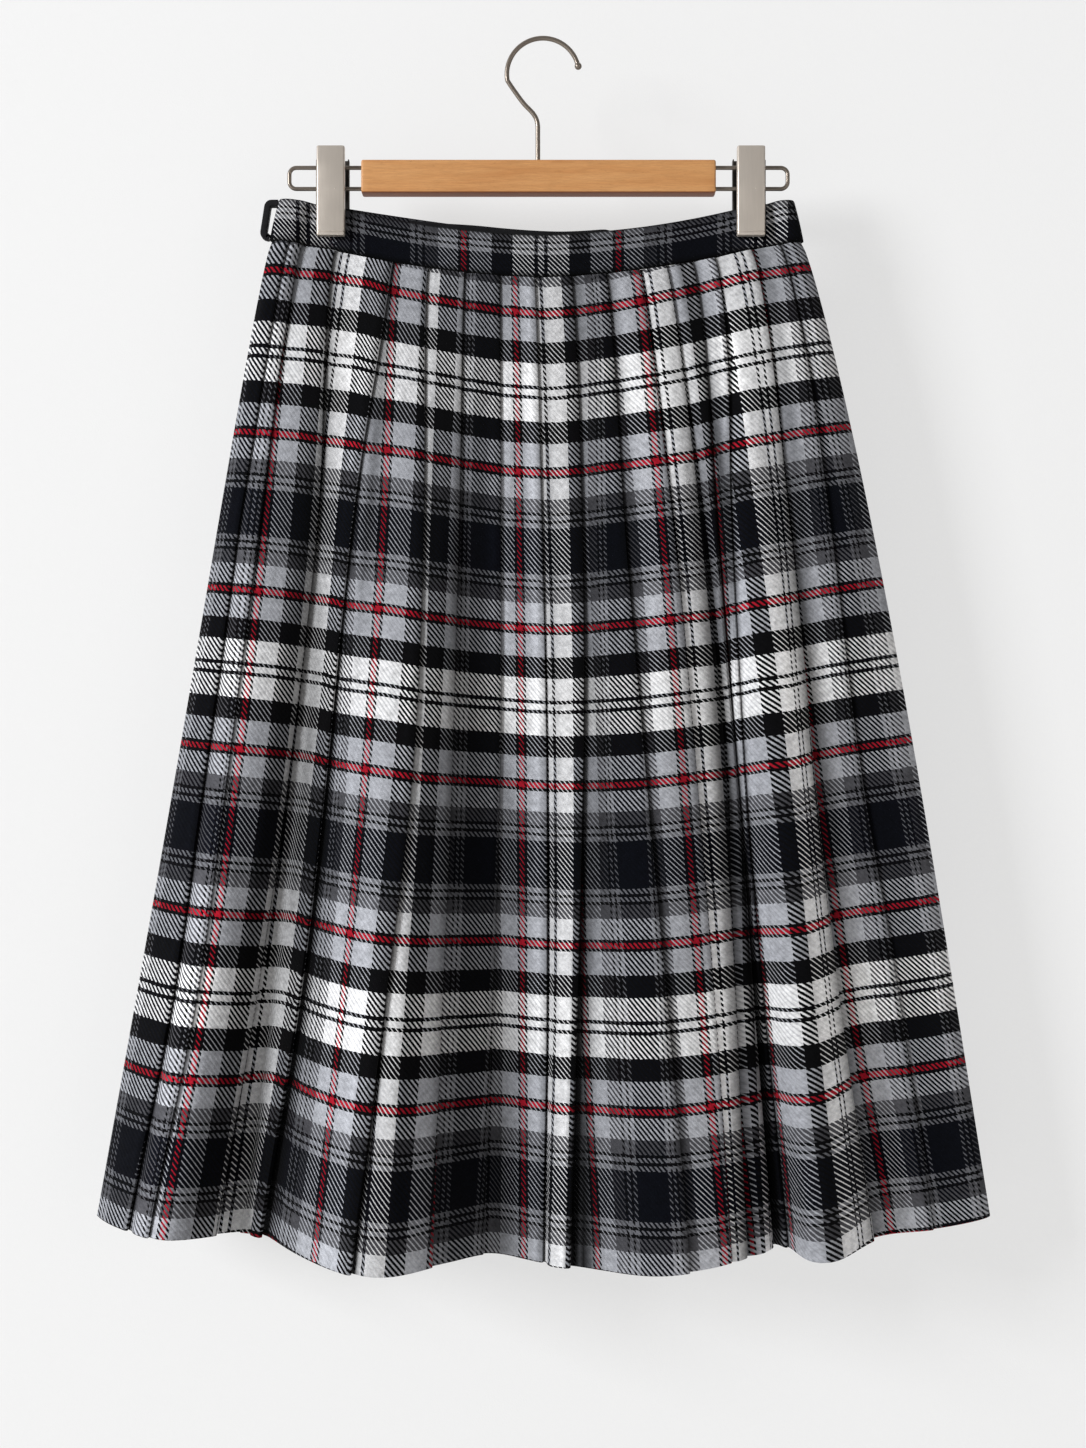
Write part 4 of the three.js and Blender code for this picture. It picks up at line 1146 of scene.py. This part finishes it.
class Nodes:
    """A node tree built up by short calls; every argument is a socket or a plain value."""

    def __init__(self, tree):
        self.tree = tree
        self.tree.nodes.clear()

    def put(self, socket, value):
        if isinstance(value, bpy.types.NodeSocket):
            self.tree.links.new(value, socket)
        elif isinstance(value, tuple) and len(value) == 3 and socket.type == "RGBA":
            socket.default_value = (*value, 1)
        else:
            socket.default_value = value

    def node(self, kind, inputs=None, **settings):
        """The outputs of a new node, with its inputs by name or number and its settings."""
        made = self.tree.nodes.new("ShaderNode" + kind)
        for word, value in settings.items():
            setattr(made, word, value)
        for key, value in (inputs or {}).items():
            self.put(made.inputs[key], value)
        return made.outputs

    def attribute(self, name):
        return self.node("Attribute", attribute_name=name)["Fac"]

    def place(self):
        return self.node("TexCoord")["Object"]

    def upward(self):
        """How far the surface faces up, from -1 to 1."""
        return self.node("SeparateXYZ", {0: self.node("NewGeometry")["Normal"]})["Z"]

    def math(self, operation, a, b=0.0):
        return self.node("Math", {0: a, 1: b, 2: 0.0}, operation=operation)[0]

    def pingpong(self, value, half):
        return self.math("PINGPONG", value, half)

    def times(self, a, b):
        return self.math("MULTIPLY", a, b)

    def plus(self, a, b):
        return self.math("ADD", a, b)

    def minus(self, a, b):
        return self.math("SUBTRACT", a, b)

    def over(self, a, b):
        return self.math("DIVIDE", a, b)

    def join(self, x, y, z=0.0):
        return self.node("CombineXYZ", {0: x, 1: y, 2: z})[0]

    def stretch(self, vector, scale):
        return self.node("Mapping", {"Vector": vector, "Scale": scale})[0]

    def noise(self, vector, scale, detail, roughness):
        inputs = {"Vector": vector, "Scale": scale, "Detail": detail, "Roughness": roughness}
        return self.node("TexNoise", inputs)["Fac"]

    def span(self, value, low, high, to_low=0.0, to_high=1.0):
        ends = {"From Min": low, "From Max": high, "To Min": to_low, "To Max": to_high}
        return self.node("MapRange", {"Value": value, **ends})["Result"]

    def ramp(self, value, stops, kind="LINEAR"):
        node = self.tree.nodes.new("ShaderNodeValToRGB")
        node.color_ramp.interpolation = kind
        while len(node.color_ramp.elements) < len(stops):
            node.color_ramp.elements.new(1)
        for element, (place, colour) in zip(node.color_ramp.elements, stops):
            element.position = place
            element.color = (*colour, 1)
        self.put(node.inputs["Fac"], value)
        return node.outputs["Color"]

    def mix(self, factor, a, b, kind="MIX"):
        return self.node("Mix", {0: factor, 6: a, 7: b}, data_type="RGBA", blend_type=kind)[2]

    def tint(self, colour, share):
        return self.mix(1.0, colour, self.join(share, share, share), "MULTIPLY")

    def lightness(self, colour):
        return self.math("SQRT", self.node("RGBToBW", {0: colour})[0])


class Shader(Nodes):
    """The nodes of a new material with one principled surface."""

    def __init__(self, name):
        self.material = bpy.data.materials.new(name)
        self.material.use_nodes = True
        super().__init__(self.material.node_tree)
        self.output = self.tree.nodes.new("ShaderNodeOutputMaterial")
        self.surface = self.tree.nodes.new("ShaderNodeBsdfPrincipled")
        self.put(self.output.inputs["Surface"], self.surface.outputs[0])

    def set(self, **values):
        """Sets the surface's inputs by name, with _ for a space."""
        for word, value in values.items():
            label = word.replace("_", " ").title().replace("Ior", "IOR")
            self.put(self.surface.inputs[label], value)

    def bump(self, height, distance, strength):
        inputs = {"Distance": distance, "Strength": strength, "Height": height}
        self.set(normal=self.node("Bump", inputs)[0])


def linear(colour):
    """Scene colour of an 8-bit display colour."""
    shares = [value / 255 for value in colour]
    return tuple(s / 12.92 if s <= 0.04045 else ((s + 0.055) / 1.055) ** 2.4 for s in shares)


def sett_colour(shader, units):
    share = shader.over(shader.pingpong(units, HALF_SETT), HALF_SETT)
    starts = [0] + [stripe["to"] for stripe in SETT[:-1]]
    stops = [
        (start / HALF_SETT, linear(YARNS[stripe["yarn"]])) for start, stripe in zip(starts, SETT)
    ]
    return shader.ramp(share, stops, "CONSTANT")


# The twill's diagonals repeat over this many units across the cloth and down it. A diagonal
# shows its weft past this height of the wave, and the darker of two yarns shows wider.
TWILL_ACROSS = 4.6
TWILL_DOWN = 5.6
WEFT_BORDER = 0.2
BORDER_BLUR = 0.045
DARK_GAIN = 0.1
WANDER = 2.2               # how far a stripe's edge strays, in units
PALE_NAP = 0.65            # how far the paler of two pale yarns hides the other under its nap
PALE_FROM = 0.5            # lightness at which two yarns begin to be pale, and at which both are
PALE_TO = 0.58
# Darkest share of the shade painted beside fold edges and along the band's seam and top.
DARKEST_PAINTED_SHADE = 0.93


def tartan(name):
    """Twill of two sets of yarns, laid out on the cloth's own weave, with painted shade in the
    twill's grooves, beside fold edges and along the band's seam and top, and the painted light and
    shade of the large folds.
    """
    shader = Shader(name)
    warp = shader.attribute("warp")
    weft = shader.attribute("weft")
    yarn = shader.attribute("yarn")
    cloth_place = shader.join(yarn, weft)
    wander = shader.noise(cloth_place, 0.35, 3, 0.6)
    shake = shader.times(shader.minus(wander, 0.5), WANDER)
    warp_colour = sett_colour(shader, shader.plus(warp, shake))
    weft_colour = sett_colour(shader, shader.plus(weft, shake))
    line = shader.minus(shader.over(yarn, TWILL_ACROSS), shader.over(weft, TWILL_DOWN))
    fuzz = shader.noise(cloth_place, 0.9, 2, 0.6)
    wave = shader.pingpong(shader.plus(line, shader.times(fuzz, 0.25)), 0.5)

    warp_light = shader.lightness(warp_colour)
    weft_light = shader.lightness(weft_colour)
    both = shader.plus(shader.plus(warp_light, weft_light), 0.02)
    lead = shader.over(shader.minus(warp_light, weft_light), both)
    border = shader.minus(WEFT_BORDER, shader.times(lead, DARK_GAIN))
    weft_shows = shader.span(shader.minus(wave, border), -BORDER_BLUR, BORDER_BLUR)
    colour = shader.mix(weft_shows, warp_colour, weft_colour)
    paler = shader.mix(1.0, warp_colour, weft_colour, "LIGHTEN")
    darker_light = shader.math("MINIMUM", warp_light, weft_light)
    both_pale = shader.span(darker_light, PALE_FROM, PALE_TO)
    colour = shader.mix(shader.times(both_pale, PALE_NAP), colour, paler)

    felt = shader.noise(cloth_place, 0.17, 4, 0.72)
    # Painted shade darkens the grooves between the twill's lines; the felt adds its own random
    # mottle.
    painted_groove_shade = shader.span(wave, 0.0, 0.25, 0.82, 1.0)
    shade = shader.times(shader.span(felt, 0.32, 0.68, 0.66, 1.14), painted_groove_shade)
    # Painted shade beside fold edges, inside folds and along the band's seam and top.
    painted_nook_dark = shader.times(shader.attribute("nook"), DARKEST_PAINTED_SHADE)
    shade = shader.times(shade, shader.minus(1.0, painted_nook_dark))
    # Painted light and shade of the large folds.
    shade = shader.times(shade, shader.attribute("tone"))
    shader.set(base_color=shader.tint(colour, shade), roughness=0.95)
    shader.set(sheen_weight=0.015, sheen_roughness=0.6, specular_ior_level=0.03)
    shader.bump(shader.plus(shader.times(wave, 0.9), shader.times(felt, 2.0)), 0.0005, 0.6)
    return shader.material


def trim_cloth(name):
    """Black ribbed tape."""
    shader = Shader(name)
    place = shader.place()
    rib = shader.noise(place, 2600, 2, 0.6)
    tone = shader.noise(place, 300, 3, 0.6)
    colour = shader.ramp(tone, [(0.3, linear((4, 4, 5))), (0.75, linear((16, 16, 19)))])
    shader.set(base_color=colour, roughness=0.75, specular_ior_level=0.15, sheen_weight=0.01)
    shader.bump(rib, 0.0003, 0.6)
    return shader.material


def beech(name):
    """Pale wood with its grain along the bar; the faces turned down are painted darker, as painted
    shade.
    """
    shader = Shader(name)
    place = shader.place()
    long_grain = shader.noise(shader.stretch(place, (14, 160, 160)), 1.0, 5, 0.6)
    fine = shader.noise(shader.stretch(place, (110, 1500, 1500)), 1.0, 3, 0.65)
    fleck = shader.noise(shader.stretch(place, (300, 2600, 2600)), 1.0, 2, 0.5)
    tone = shader.ramp(long_grain, [
        (0.25, linear((160, 108, 62))), (0.5, linear((174, 125, 77))), (0.8, linear((182, 136, 88))),
    ])
    tone = shader.tint(tone, shader.span(fine, 0.35, 0.7, 0.86, 1.06))
    tone = shader.tint(tone, shader.span(fleck, 0.62, 0.72, 1.0, 0.8))
    # Painted shade: faces turned down take a dark brown.
    painted_underside_shade = shader.span(shader.upward(), -0.3, -0.85)
    tone = shader.mix(painted_underside_shade, tone, linear((112, 60, 26)))
    shader.set(base_color=tone, roughness=0.5, specular_ior_level=0.3)
    shader.bump(fine, 0.00025, 0.25)
    return shader.material


METAL_SHARE = 0.6          # the rest is a dull coat that takes the light evenly


def metal(name, colour, roughness, streak):
    """Brushed metal; streak is how fine its marks are along each axis."""
    shader = Shader(name)
    place = shader.place()
    brushed = shader.noise(shader.stretch(place, streak), 1.0, 3, 0.6)
    cloud = shader.noise(place, 60, 2, 0.5)
    darker = tuple(value * 0.86 for value in linear(colour))
    tone = shader.mix(brushed, darker, linear(colour))
    rough = shader.span(cloud, 0.3, 0.7, roughness - 0.05, roughness + 0.06)
    shader.set(base_color=tone, roughness=rough, metallic=METAL_SHARE)
    shader.bump(brushed, 0.0001, 0.2)
    return shader.material


# ---------------------------------------------------------------- the pieces

wool = tartan("tartan_wool")
trim = trim_cloth("black_trim")
steel = metal("wire_steel", (112, 103, 94), 0.3, (400, 400, 400))
clip_metals = {
    "dark_steel": metal("dark_steel", (70, 66, 63), 0.42, (500, 500, 500)),
    "satin_nickel": metal("satin_nickel", (188, 179, 169), 0.4, (900, 900, 60)),
}
wood = beech("beech")

cloth_front = pleated_panel("cloth_front", FRONT_FOLDS, FRONT_CREASES, True, front_warp)
finish_piece(cloth_front, wool, ["skirt_front"])
cloth_back = pleated_panel("cloth_back", BACK_FOLDS, BACK_CREASES, False, back_warp)
finish_piece(cloth_back, wool, ["skirt_back"])
band_front = finish_piece(waistband("band_front", True), wool, ["waistband_front"])
band_back = finish_piece(waistband("band_back", False), wool, ["waistband_back"])
facing = finish_piece(facing_strip(), trim, ["back_facing"])
finish_piece(strap(), trim, ["strap_loop"])
finish_piece(bar_piece(), wood, ["hanger_bar"])
finish_piece(hook_piece(), steel, ["hook"])
for side, word in ((-1, "left"), (1, "right")):
    finish_piece(wire_piece(side, word), steel, [f"wire_loop_{word}"])
    clip_pieces(word, clip_metals)

# ---------------------------------------------------------------- backdrop, light and camera


WALL_Y = 0.062
WALL_HALF = (4, 3)
FLOOR_Z = -1.35
FLOOR_HALF = 6
WALL_GLOW = 0.63           # lifts the shadow on the wall, as light from the room does


def flat_face(name, corners, material):
    mesh = bpy.data.meshes.new(name)
    mesh.from_pydata(corners, [], [(0, 1, 2, 3)])
    mesh.materials.append(material)
    face = bpy.data.objects.new(name, mesh)
    bpy.context.scene.collection.objects.link(face)
    return face


def rough_paint(name, colour, glow):
    shader = Shader(name)
    shader.set(base_color=linear(colour), roughness=0.95, specular_ior_level=0.1)
    shader.set(emission_color=(1, 1, 1), emission_strength=glow)
    shader.bump(shader.noise(shader.place(), 900, 2, 0.5), 0.0004, 0.25)
    return shader


def seen_from_one_side(shader):
    """Clears the back of a surface, so that the object shows from behind too."""
    back = shader.node("NewGeometry")["Backfacing"]
    clear = shader.node("BsdfTransparent")[0]
    sides = shader.node("MixShader", {0: back, 1: shader.surface.outputs[0], 2: clear})
    shader.put(shader.output.inputs["Surface"], sides[0])


wall_paint = rough_paint("wall_paint", (118, 118, 118), WALL_GLOW)
seen_from_one_side(wall_paint)
floor_paint = rough_paint("floor_paint", (214, 213, 211), 0)
SQUARE = [(-1, -1), (1, -1), (1, 1), (-1, 1)]
wall_corners = [(x * WALL_HALF[0], WALL_Y, z * WALL_HALF[1]) for x, z in SQUARE]
floor_corners = [(x * FLOOR_HALF, y * FLOOR_HALF, FLOOR_Z) for x, y in SQUARE]
wall = flat_face("backdrop", wall_corners, wall_paint.material)
wall.visible_shadow = False
flat_face("floor", floor_corners, floor_paint.material)

# Square soft lights, all turned to the middle of the skirt: a large one from the left, as from
# a window, a weak one from the right, and one for the back.
MIDDLE = Vector((0, 0, -0.5))
LIGHTS = table(
    "name place size power colour",
    ("key_light", (-4.3, -3.0, 1.0), 1.5, 430, (0.975, 0.985, 1.0)),
    ("fill_light", (2.6, -3.0, -0.2), 2.0, 24, (1.0, 0.94, 0.88)),
    ("back_light", (0.8, 2.2, 0.6), 1.6, 34, (1.0, 0.99, 0.98)),
)
for row in LIGHTS:
    light = bpy.data.lights.new(row["name"], "AREA")
    light.size = row["size"]
    light.energy = row["power"]
    light.color = row["colour"]
    lamp = bpy.data.objects.new(row["name"], light)
    bpy.context.scene.collection.objects.link(lamp)
    lamp.location = row["place"]
    lamp.rotation_euler = (MIDDLE - Vector(row["place"])).to_track_quat("-Z", "Y").to_euler()

# The room's own light comes from all round, and more of it from above than from below.
ROOM_LIGHT = 0.33
ROOM_STOPS = [(0.25, (0.4, 0.4, 0.4)), (0.75, (1.0, 0.995, 0.99))]
world = bpy.data.worlds.new("room")
world.use_nodes = True
room = Nodes(world.node_tree)
height = room.node("SeparateXYZ", {0: room.node("TexCoord")["Generated"]})["Z"]
tint = room.ramp(room.span(height, -1, 1), ROOM_STOPS)
glow = room.node("Background", {"Color": tint, "Strength": ROOM_LIGHT})
room.node("OutputWorld", {"Surface": glow[0]})
bpy.context.scene.world = world
bpy.context.scene.view_settings.view_transform = "Standard"

# The camera stands square to the hanger's plane, level with the middle of the skirt.
CAMERA_AWAY = 1.4
CAMERA_HEIGHT = -0.4922
FOCAL = 48.33
camera_data = bpy.data.cameras.new("camera")
camera_data.lens = FOCAL
camera_data.sensor_width = 36
camera = bpy.data.objects.new("camera", camera_data)
bpy.context.scene.collection.objects.link(camera)
camera.location = (0, -CAMERA_AWAY, CAMERA_HEIGHT)
camera.rotation_euler = (math.pi / 2, 0, 0)
bpy.context.scene.camera = camera


def plain(corners):
    return [[float(value) for value in corner] for corner in corners]
